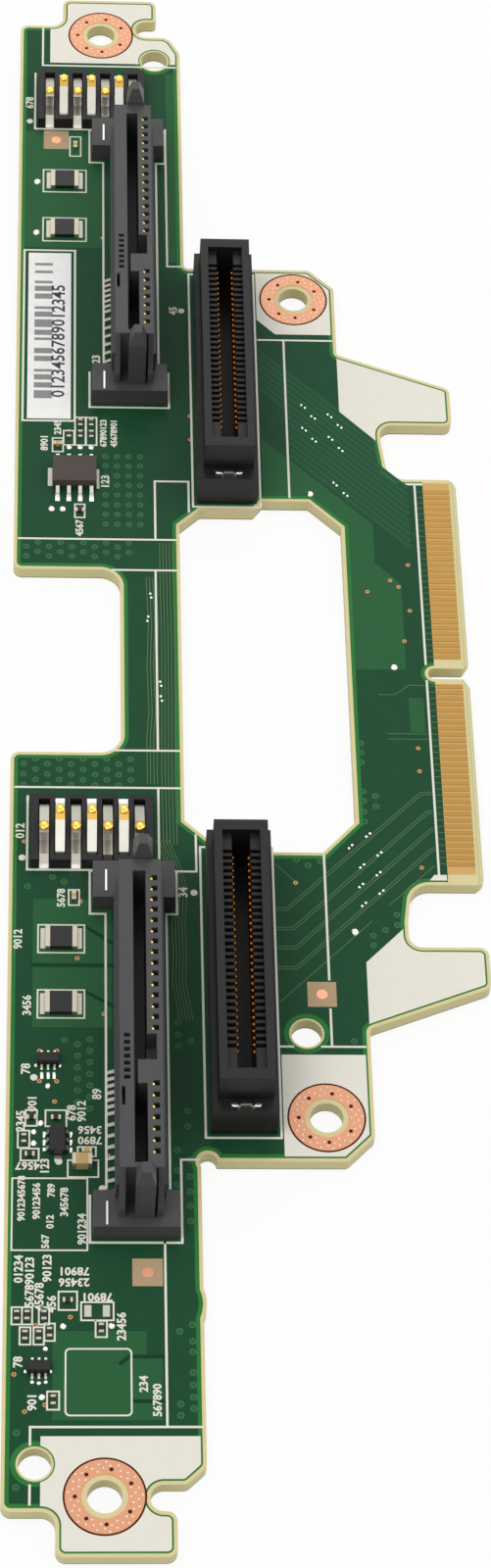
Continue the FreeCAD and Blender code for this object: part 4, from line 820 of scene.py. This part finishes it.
def coating(name, base, roughness, grain_mm, spread, weave=False):
    """A thin printed or dipped coat: solder mask or legend ink over the board.

    Its surface is broken by fine filler, so it mirrors less than a clear coat would.
    """
    values = {"Roughness": roughness, "IOR": 1.52, "Specular IOR Level": 0.06}
    tree, shader, place = start_material(name, values)
    noise, tint = vary(tree, place, base, spread, grain_mm)
    tree.links.new(tint, shader.inputs["Base Color"])
    height = noise.outputs["Fac"]
    if weave:
        # glass bundles of the laminate show faintly through the mask, about 0.5 mm apart
        bundle = {"Vector": place, "Scale": WAVE_SCALE / (0.5 * MM)}
        warp = add_node(tree, "TexWave", bundle, bands_direction="X")
        weft = add_node(tree, "TexWave", bundle, bands_direction="Y")
        cross = add_node(tree, "Math", {0: warp.outputs["Fac"], 1: weft.outputs["Fac"]},
                         operation="MULTIPLY")
        height = cross.outputs["Value"]
    relief(tree, shader, height, 0.35, 0.004)


def moulding(name, base, roughness, edge_mm):
    """A moulded plastic: fine eroded grain, softly broken edges and slight flow shading."""
    values = {"Roughness": roughness, "IOR": 1.58, "Specular IOR Level": 0.2}
    tree, shader, place = start_material(name, values)
    noise, tint = vary(tree, place, base, 0.10, 1.6)
    tree.links.new(tint, shader.inputs["Base Color"])
    # the real grain is near 0.02 mm; it is drawn at 0.09 mm so that it shows
    grain = add_node(tree, "TexNoise", {"Vector": place, "Scale": 1 / (0.09 * MM), "Detail": 2.0})
    relief(tree, shader, grain.outputs["Fac"], 0.3, 0.02, edge_mm)


def metal(name, base, roughness, grain_mm=0.3, edge_mm=0.04):
    """A plated metal: its colour varies a little where the plating has flowed or been wiped."""
    tree, shader, place = start_material(name, {"Metallic": 1.0, "Roughness": roughness})
    noise, tint = vary(tree, place, base, 0.08, grain_mm)
    tree.links.new(tint, shader.inputs["Base Color"])
    relief(tree, shader, noise.outputs["Fac"], 0.25, 0.01, edge_mm)
    return tree, shader, place


def above(tree, place, axis, level_mm):
    """1 where the object's X, Y or Z is above a level in millimetres, else 0."""
    split = add_node(tree, "SeparateXYZ", {"Vector": place})
    test = add_node(tree, "Math", {0: split.outputs[axis], 1: level_mm * MM},
                    operation="GREATER_THAN")
    return test.outputs["Value"]


def make_laminate():
    """FR4, routed: pale resin on top, glass layers in its cut wall with painted shade at its foot,
    solder mask on its underside.
    """
    values = {"Roughness": 0.5, "IOR": 1.54, "Specular IOR Level": 0.3}
    tree, shader, place = start_material("routed_glass_epoxy_laminate", values)
    noise, pale = vary(tree, place, colours().laminate, 0.05, 1.2)
    # cut glass plies show as fine level streaks about 0.2 mm apart
    plies = add_node(tree, "TexWave", {"Vector": place, "Scale": WAVE_SCALE / (0.2 * MM),
                                       "Distortion": 1.5, "Detail Scale": 0.4 / MM},
                     bands_direction="Z")
    wall = add_node(tree, "Mix", {"Factor": plies.outputs["Fac"], FIRST: hex_colour("#c4ba84"),
                                  SECOND: hex_colour("#d9d19e")}, data_type="RGBA")
    # laid on in turn: painted shade as a dark band at the foot of the cut wall, where the board's bottom
    # edge lies in shadow, the pale face above it, the underside's mask
    layers = ((0.12, hex_colour("#6f6f42"), None), (BOARD_TOP - 0.01, None, pale),
              (0.004, colours().mask, None))
    tint = wall.outputs[MIXED]
    for level, under, over in layers:
        mixed = {"Factor": above(tree, place, "Z", level), FIRST: under or tint, SECOND: over or tint}
        tint = add_node(tree, "Mix", mixed, data_type="RGBA").outputs[MIXED]
    tree.links.new(tint, shader.inputs["Base Color"])
    relief(tree, shader, noise.outputs["Fac"], 0.3, 0.01)


def make_spring_strip():
    """Tin-plated spring bronze with gold on the curled contact tips."""
    tree, shader, place = metal("tin_plated_spring_strip", hex_colour("#cfcbc0"), 0.3, 0.8)
    tip = {"Factor": above(tree, place, "Z", BOARD_TOP + 2.7), SECOND: hex_colour("#cda855"),
           FIRST: shader.inputs["Base Color"].links[0].from_socket}
    mix = add_node(tree, "Mix", tip, data_type="RGBA")
    tree.links.new(mix.outputs[MIXED], shader.inputs["Base Color"])


def make_materials():
    """Every finish but the laminate's and the springs' is a coating, a metal or a moulding."""
    palette = colours()
    make_laminate()
    make_spring_strip()
    # solder mask is a clear green epoxy: it reads blue-green over copper, bright green over the
    # bare glass at its rim, and paler where a pour, a track or a via lies close under it
    coating("solder_mask_on_laminate", palette.mask_rim, 0.32, 3.0, 0.06)
    coating("solder_mask_on_copper", palette.mask, 0.30, 2.2, 0.09, weave=True)
    coating("solder_mask_on_pour", palette.pour, 0.30, 2.2, 0.07, weave=True)
    coating("solder_mask_on_track", palette.track, 0.30, 1.0, 0.05)
    coating("solder_mask_on_broad_track", hex_colour("#28563a"), 0.30, 1.0, 0.05)
    coating("solder_mask_in_gap", hex_colour("#183b27"), 0.32, 1.0, 0.05)
    coating("solder_mask_on_via", hex_colour("#3f724e"), 0.26, 0.8, 0.08)
    # legend ink is chalky and slightly cream, so it takes no highlight
    coating("epoxy_legend_ink", palette.ink, 0.55, 1.5, 0.025)
    # resin without mask over it: matt and tan
    coating("bare_resin_tan", hex_colour("#b59c7b"), 0.5, 0.4, 0.07)
    coating("finger_bed_laminate", hex_colour("#d0a868"), 0.5, 0.6, 0.06)
    # the insides of small holes are in shade and read as brown dots
    coating("dark_via_bore", hex_colour("#4a2115"), 0.7, 0.3, 0.1)
    coating("copper_via_wall", hex_colour("#80492b"), 0.6, 0.3, 0.1)
    # thermal print is grey rather than black, and a little uneven
    coating("thermal_print", hex_colour("#8f8f8d"), 0.6, 0.4, 0.12)
    coating("thermal_print_digits", hex_colour("#4c4c4c"), 0.6, 0.4, 0.12)
    # bare copper is salmon and satin, and browner where it has tarnished
    metal("bare_copper", palette.copper, 0.42, 0.25, 0.0)
    metal("tarnished_copper_pad", hex_colour("#c79070"), 0.5, 0.25, 0.0)
    metal("tarnished_copper_ring", hex_colour("#b88a5c"), 0.45, 0.2, 0.0)
    # gold plating is brown-yellow and satin when hard; the gold of the rounded contact tips is lightened
    # as a painted highlight
    metal("hard_gold_fingers", palette.finger, 0.36, 0.35, 0.0)
    metal("gold_contact_plating", palette.gold, 0.22, 0.2)
    metal("worn_gold_contact_plating", hex_colour("#c98d45"), 0.3, 0.2)
    metal("gold_tip_painted_highlight", hex_colour("#eec65e"), 0.2, 0.2, 0.0)
    metal("orange_gold_contact_tip", hex_colour("#d9892f"), 0.3, 0.2, 0.0)
    # solder and tin are near white: mirror-like where they flowed freely, grey where they set dull
    metal("reflowed_solder", hex_colour("#e9e7e0"), 0.24, 0.5)
    metal("dull_reflowed_solder", hex_colour("#b3b2a6"), 0.5, 0.4)
    metal("dull_solder_speck", hex_colour("#cfcac3"), 0.4, 0.2, 0.0)
    metal("tin_plated_lead", hex_colour("#dcdad2"), 0.28, 0.6)
    metal("matt_tin_terminal", hex_colour("#b7b09d"), 0.5, 0.3)
    metal("dull_tin_tail", hex_colour("#a5a49b"), 0.45, 0.4)
    # mouldings are matt with soft edges: glass filling greys the drive sockets
    moulding("glass_filled_polyester_grey", palette.drive_plastic, 0.42, 0.09)
    moulding("liquid_crystal_polymer_black", palette.card_plastic, 0.45, 0.09)
    moulding("epoxy_moulding_compound", hex_colour("#463e3a"), 0.5, 0.06)
    moulding("epoxy_moulding_compound_black", hex_colour("#231f1f"), 0.5, 0.04)
    moulding("thick_film_resistor_glaze", hex_colour("#262425"), 0.3, 0.04)
    moulding("capacitor_ceramic_tan", hex_colour("#c4a86e"), 0.4, 0.05)
    moulding("coated_label_paper", hex_colour("#f0f1ee"), 0.6, 0.05)


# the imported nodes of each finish, by the start of their names
NODE_FINISHES = {
    "routed_glass_epoxy_laminate": ("circuit_board",),
    "hard_gold_fingers": ("edge_contacts",),
    "tarnished_copper_pad": ("screw_pads",),
    "glass_filled_polyester_grey": ("drive_socket_housing",),
    "liquid_crystal_polymer_black": ("spring_block_housing", "card_socket_housing"),
    "gold_contact_plating": ("drive_power_contacts", "drive_signal_contacts"),
    "worn_gold_contact_plating": ("second_port_contacts", "card_contacts"),
    "tin_plated_spring_strip": ("forward_springs", "backward_springs"),
    "tin_plated_lead": ("socket_hold_downs", "card_clip", "wide_chip_leads", "small_chip_leads",
                        "transistor_leads"),
    "dull_tin_tail": ("solder_tails",),
    "epoxy_moulding_compound": ("wide_chip_body",),
    "epoxy_moulding_compound_black": ("small_chip_body", "transistor_body"),
    "thick_film_resistor_glaze": ("power_resistor_bodies", "chip_resistor_bodies"),
    "capacitor_ceramic_tan": ("chip_capacitor_bodies", "large_capacitor_bodies"),
    "matt_tin_terminal": ("power_resistor_terminals", "chip_resistor_terminals",
                          "chip_capacitor_terminals", "large_capacitor_terminals"),
    "coated_label_paper": ("label",),
}


# ---------------------------------------------------------------------------------------------
# Floor and light
# ---------------------------------------------------------------------------------------------
# the floor reaches this far each way and lies just under the board, in metres
FLOOR_REACH = 1.5
FLOOR_LEVEL = -2e-4
# how much of the floor is an even white where it is seen directly, and the world's own light
FLOOR_GLOW = 0.9
WORLD_LIGHT = 0.56


def seen_directly(tree):
    """1 where the eye, a reflection or a clear view meets the backdrop, else 0."""
    path = add_node(tree, "LightPath")
    seen = path.outputs["Is Camera Ray"]
    for name in ("Is Glossy Ray", "Is Transmission Ray"):
        either = add_node(tree, "Math", {0: seen, 1: path.outputs[name]}, operation="MAXIMUM")
        seen = either.outputs["Value"]
    return seen


def white_behind(name):
    """World: even pale light, and white at strength 1 behind the object."""
    world = bpy.data.worlds.new(name)
    bpy.context.scene.world = world
    world.use_nodes = True
    tree = world.node_tree
    tree.nodes.clear()
    light = add_node(tree, "Background", {"Color": (1, 1, 1, 1), "Strength": WORLD_LIGHT})
    white = add_node(tree, "Background", {"Color": (1, 1, 1, 1), "Strength": 1.0})
    mix = add_node(tree, "MixShader", {"Fac": seen_directly(tree), 1: light.outputs[0],
                                       2: white.outputs[0]})
    add_node(tree, "OutputWorld", {"Surface": mix.outputs[0]})


def pale_floor():
    """Matt studio card: near white, and mostly an even glow where seen, so shadows stay faint."""
    material = bpy.data.materials.new("matt_white_card")
    material.use_nodes = True
    tree = material.node_tree
    tree.nodes.clear()
    card = add_node(tree, "BsdfDiffuse", {"Color": (0.9, 0.9, 0.9, 1)})
    glow = add_node(tree, "Emission", {"Color": (1, 1, 1, 1), "Strength": 1.0})
    amount = add_node(tree, "Math", {0: seen_directly(tree), 1: FLOOR_GLOW}, operation="MULTIPLY")
    mix = add_node(tree, "MixShader", {"Fac": amount.outputs[0], 1: card.outputs[0],
                                       2: glow.outputs[0]})
    add_node(tree, "OutputMaterial", {"Surface": mix.outputs[0]})
    return material


def add_lamp(name, place, wide, power):
    """A square softbox that faces the middle of the board."""
    lamp = bpy.data.lights.new(name, "AREA")
    lamp.size = wide
    lamp.energy = power
    holder = bpy.data.objects.new(name, lamp)
    holder.location = place
    direction = -np.array(place)
    flat = math.hypot(direction[0], direction[1])
    holder.rotation_euler = (math.atan2(flat, -direction[2]), 0,
                             math.atan2(direction[1], direction[0]) - math.pi / 2)
    bpy.context.collection.objects.link(holder)


# ---------------------------------------------------------------------------------------------
# Operators
# ---------------------------------------------------------------------------------------------
class BACKPLANE_OT_finishes(bpy.types.Operator):
    """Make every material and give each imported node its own"""

    bl_idname = "backplane.finishes"
    bl_label = "Finishes"

    def execute(self, context):
        make_materials()
        for name, node in frame["nodes"].items():
            finish = next((own for own, starts in NODE_FINISHES.items()
                           if name.startswith(starts)), None)
            if finish is None:
                raise RuntimeError("no finish for %s" % name)
            node.data.materials.clear()
            node.data.materials.append(bpy.data.materials[finish])
        return {"FINISHED"}


class BACKPLANE_OT_mask(bpy.types.Operator):
    """Lay the solder mask, the copper under it and its covered tracks and vias"""

    bl_idname = "backplane.mask"
    bl_label = "Solder mask"

    def execute(self, context):
        sheet = board_inset(sizes("mask_gap"), UNDER_PAD, TOOLING_GAPS["mask"])
        add_piece("solder_mask", slab(*sheet, MASK_TALL), "solder_mask_on_laminate")
        plane = board_inset(sizes("plane_gap"), UNDER_PAD, TOOLING_GAPS["copper"])
        add_piece("covered_copper_plane", slab(*plane, PLANE_TALL), "solder_mask_on_copper")
        pours = [slab(*clipped(*plane, outline), POUR_TALL) for outline in POURS]
        add_piece("covered_pours", joined(pours), "solder_mask_on_pour")
        add_piece("pour_gaps", bars(DARK_BANDS, DARK_BAND_WIDE, TRACK_TALL), "solder_mask_in_gap")
        add_piece("covered_tracks", bars(covered_tracks(), sizes("track_wide"), TRACK_TALL),
                  "solder_mask_on_track")
        add_piece("broad_covered_tracks", bars(diagonal_bands(), BROAD_TRACK_WIDE, POUR_TALL),
                  "solder_mask_on_broad_track")
        vias = tented_vias()
        add_piece("tented_via_rings", rings(vias, TENTED_RING, TENTED_VIA, POUR_TALL + 2 * LIFT, 12),
                  "solder_mask_on_via")
        add_piece("tented_vias", domes(vias, TENTED_VIA, TENTED_TALL, PLANE_TALL),
                  "solder_mask_on_pour", smooth=True)
        bed = [(MASK_RIGHT, BED_RIGHT, middle - BED_HALF, middle + BED_HALF)
               for middle in (-BED_MIDDLE, BED_MIDDLE)]
        add_piece("finger_bed", blocks(bed, BED_TALL), "finger_bed_laminate")
        return {"FINISHED"}


class BACKPLANE_OT_legend(bpy.types.Operator):
    """Print the white legend: fields, lines, frames, dots and plain numbers"""

    bl_idname = "backplane.legend"
    bl_label = "Legend"

    def execute(self, context):
        sheet = board_inset(sizes("field_gap"), UNDER_PAD, TOOLING_GAPS["fields"])
        lines = list(BOARD_LINES)
        for number, extra in ((1, LOWER_DRIVE_LINES), (2, UPPER_DRIVE_LINES)):
            lines += shifted(DRIVE_LINES + extra, drive_middle(number))
            lines += shifted(frame_lines(*CARD_FRAME), box_middle("card_socket_housing_%d" % number))
            lines += shifted(SPRING_LINES, box_middle("spring_block_housing_%d" % number))
        lines += frame_lines(*LABEL_FRAME)
        thin = [line for box in PART_FRAMES for line in frame_lines(*box)]
        thin += rounded_frame(*BLANK_FRAME, BLANK_FRAME_CORNER)
        fields = [slab(*clipped(*sheet, outline), INK_TALL) for outline in WHITE_FIELDS]
        print_shapes = {
            "fields": joined(fields),
            "lines": bars(lines, sizes("line_wide"), INK_TALL),
            "part_frames": bars(thin, sizes("thin_line_wide"), INK_TALL),
            "dots": discs(LEGEND_DOTS, LEGEND_DOT, INK_TALL),
            "bars": blocks(CHIP_BARS, INK_TALL),
            "numbers": numbers(PLAIN_NUMBERS, INK_TALL),
        }
        for name, shape in print_shapes.items():
            add_piece("legend_" + name, shape, "epoxy_legend_ink")
        return {"FINISHED"}


class BACKPLANE_OT_solder(bpy.types.Operator):
    """Add the bare copper, the solder and the fine detail of the screw pads"""

    bl_idname = "backplane.solder"
    bl_label = "Solder and pads"

    def execute(self, context):
        outer = sizes("via_wide") / 2
        inner = outer / 2
        add_piece("via_rings", rings(COPPER_VIAS, outer, inner, INK_TALL), "tarnished_copper_ring")
        add_piece("via_bores", discs(COPPER_VIAS, inner, TRACK_TALL + 2 * LIFT), "copper_via_wall")
        mounds = [domes([(x, y)], radius, radius * DOME_RISE) for x, y, radius in SOLDER_DOMES]
        add_piece("solder_domes", joined(mounds), "reflowed_solder", smooth=True)
        add_piece("solder_pads", blocks(SOLDER_PADS, SOLDER_PAD_TALL), "reflowed_solder")
        add_piece("power_resistor_solder", blocks(RESISTOR_PADS, RESISTOR_PAD_TALL),
                  "dull_reflowed_solder")
        pairs = [point for x, y, dx, dy in DOT_PAIRS for point in ((x, y), (x + dx, y + dy))]
        add_piece("test_dots", domes(pairs, *TEST_DOT, POUR_TALL), "reflowed_solder",
                  smooth=True)
        squares = [(x - FIDUCIAL_HALF, x + FIDUCIAL_HALF, y - FIDUCIAL_HALF, y + FIDUCIAL_HALF)
                   for x, y in FIDUCIALS]
        add_piece("fiducial_squares", blocks(squares, INK_TALL), "bare_resin_tan")
        add_piece("fiducial_dots", discs(FIDUCIALS, FIDUCIAL_DOT, INK_TALL + 20 * LIFT), "bare_copper")
        self.screw_pad_detail()
        return {"FINISHED"}

    def screw_pad_detail(self):
        """Seven dark vias in each pad, pale solder dots spread over it and a dark rim round it."""
        pad_top = node_box("screw_pads")[1, 2] - BOARD_TOP
        turn = np.radians(PAD_VIA_TURNS)
        vias = PAD_VIA_REACH * np.stack([np.cos(turn), np.sin(turn)], 1)
        # dots on a spiral whose turn is the golden angle, which spreads them evenly
        count = np.arange(PAD_DOTS)
        inner, outer = PAD_DOT_REACH
        radius = np.sqrt(inner ** 2 + (outer ** 2 - inner ** 2) * (count + 0.5) / PAD_DOTS)
        angle = count * math.pi * (3 - math.sqrt(5))
        dots = np.stack([radius * np.cos(angle), radius * np.sin(angle)], 1)
        apart = np.linalg.norm(dots[:, None] - vias[None], axis=2).min(1)
        dots = dots[apart > PAD_DOT_CLEAR]
        holes = np.array(SCREW_HOLES)
        all_vias = (holes[:, None] + vias[None]).reshape(-1, 2)
        all_dots = (holes[:, None] + dots[None]).reshape(-1, 2)
        add_piece("screw_pad_vias", discs(all_vias, PAD_VIA, pad_top + 4 * LIFT), "dark_via_bore")
        add_piece("screw_pad_solder_dots", domes(all_dots, *PAD_DOT, pad_top, 8),
                  "dull_solder_speck", smooth=True)
        add_piece("screw_pad_rims", rings(SCREW_HOLES, *PAD_RIM, INK_TALL + 2 * LIFT, 64),
                  "dark_via_bore")


class BACKPLANE_OT_contact_tips(bpy.types.Operator):
    """Round off the gold tips of the springs and of the socket contacts"""

    bl_idname = "backplane.contact_tips"
    bl_label = "Contact tips"

    def execute(self, context):
        dimples, drive_tips, card_tips, clip_ends = [], [], [], []
        for number in (1, 2):
            dimples += spring_dimples(number)
            for kind, count in DRIVE_CONTACTS:
                low, high = node_box("drive_%s_contacts_%d" % (kind, number))
                drive_tips += [(low[0] - DRIVE_TIP_LEFT, y, high[2] + DRIVE_TIP_UP)
                               for y in spaced(low[1], high[1], count, DRIVE_CONTACT_WIDE)]
            for side, inner, inwards in (("left", 1, CARD_TIP_IN), ("right", 0, -CARD_TIP_IN)):
                box = node_box("card_contacts_%s_%d" % (side, number))
                card_tips += [(box[inner, 0] + inwards, y, BOARD_TOP + CARD_TIP_TALL)
                              for y in spaced(box[0, 1], box[1, 1], CARD_CONTACTS, CARD_CONTACT_WIDE)]
            low, high = node_box("card_clip_%d" % number)
            clip_ends += [(x, (low[1] + high[1]) / 2, high[2])
                          for x in (low[0] + CLIP_END_IN, high[0] - CLIP_END_IN)]
        # the gold of these rounded tips is lightened as a painted highlight
        add_piece("spring_dimples", beads(dimples, SPRING_DIMPLE, 20, 10), "gold_tip_painted_highlight",
                  smooth=True)
        add_piece("drive_contact_tips", beads(drive_tips, DRIVE_TIP), "gold_tip_painted_highlight",
                  smooth=True)
        add_piece("card_contact_tips", beads(card_tips, CARD_TIP), "orange_gold_contact_tip",
                  smooth=True)
        add_piece("card_clip_ends", beads(clip_ends, CLIP_END), "reflowed_solder", smooth=True)
        return {"FINISHED"}


class BACKPLANE_OT_label_print(bpy.types.Operator):
    """Print plain bars and digits on the paper label"""

    bl_idname = "backplane.label_print"
    bl_label = "Label print"

    def execute(self, context):
        low, high = node_box("label")
        top = high[2] - BOARD_TOP + 4 * LIFT
        left, right = low[0] + np.array(LABEL_BAR_SPAN)
        modules = np.cumsum([0] + [int(step) for step in LABEL_BARS])
        edges = low[1] + LABEL_FOOT + modules * LABEL_MODULE
        stripes = [(left, right, start, end) for start, end in zip(edges[:-1:2], edges[1::2])]
        add_piece("label_bars", blocks(stripes, top), "thermal_print")
        x, y = low[0] + LABEL_DIGITS_AT[0], (low[1] + high[1]) / 2 + LABEL_DIGITS_AT[1]
        digits = numbers([(LABEL_DIGITS, x, y, LABEL_DIGIT_TALL, 90)], top)
        add_piece("label_digits", digits, "thermal_print_digits")
        return {"FINISHED"}


class BACKPLANE_OT_stage(bpy.types.Operator):
    """Set the floor, the soft studio light and the camera"""

    bl_idname = "backplane.stage"
    bl_label = "Stage"

    def execute(self, context):
        scene = context.scene
        scene.view_settings.view_transform = "Standard"
        white_behind("studio_world")
        mesh = bpy.data.meshes.new("floor")
        corners = [(-1, -1), (1, -1), (1, 1), (-1, 1)]
        mesh.from_pydata([(x * FLOOR_REACH, y * FLOOR_REACH, FLOOR_LEVEL) for x, y in corners],
                         [], [(0, 1, 2, 3)])
        floor = bpy.data.objects.new("floor", mesh)
        context.collection.objects.link(floor)
        mesh.materials.append(pale_floor())
        add_lamp("key_softbox", (-0.35, -0.25, 0.75), 0.5, 2.1)
        add_lamp("fill_softbox", (0.5, 0.1, 0.6), 0.5, 1.15)
        add_lamp("back_softbox", (0.0, 0.55, 0.45), 0.6, 1.15)
        lens = bpy.data.cameras.new("camera")
        lens.lens = 86.3605
        lens.sensor_width = 36.0
        lens.clip_start = 0.01
        camera = bpy.data.objects.new("camera", lens)
        camera.location = (-6.70147 * MM, -242.96916 * MM, 331.96380 * MM)
        camera.rotation_euler = [math.radians(turn) for turn in (34.61108, -2.85840, -1.36697)]
        context.collection.objects.link(camera)
        scene.camera = camera
        return {"FINISHED"}


class BACKPLANE_PT_panel(bpy.types.Panel):
    """Buttons and settings of the backplane board"""

    bl_idname = "BACKPLANE_PT_panel"
    bl_label = "Backplane board"
    bl_space_type = "VIEW_3D"
    bl_region_type = "UI"
    bl_category = "Backplane"

    def draw(self, context):
        layout = self.layout
        for operator in OPERATORS:
            layout.operator(operator.bl_idname)
        for group in (context.scene.backplane_colours, context.scene.backplane_sizes):
            for name in group.__annotations__:
                layout.prop(group, name)


OPERATORS = (
    BACKPLANE_OT_finishes, BACKPLANE_OT_mask, BACKPLANE_OT_legend, BACKPLANE_OT_solder,
    BACKPLANE_OT_contact_tips, BACKPLANE_OT_label_print, BACKPLANE_OT_stage,
)
CLASSES = (BackplaneColours, BackplaneSizes) + OPERATORS + (BACKPLANE_PT_panel,)


def register():
    for item in CLASSES:
        bpy.utils.register_class(item)
    bpy.types.Scene.backplane_colours = PointerProperty(type=BackplaneColours)
    bpy.types.Scene.backplane_sizes = PointerProperty(type=BackplaneSizes)


def unregister():
    del bpy.types.Scene.backplane_sizes
    del bpy.types.Scene.backplane_colours
    for item in reversed(CLASSES):
        bpy.utils.unregister_class(item)


def main():
    register()
    bpy.ops.backplane.finishes()
    bpy.ops.backplane.mask()
    bpy.ops.backplane.legend()
    bpy.ops.backplane.solder()
    bpy.ops.backplane.contact_tips()
    bpy.ops.backplane.label_print()
    bpy.ops.backplane.stage()
    bpy.context.view_layer.update()


if __name__ == "__main__":
    main()
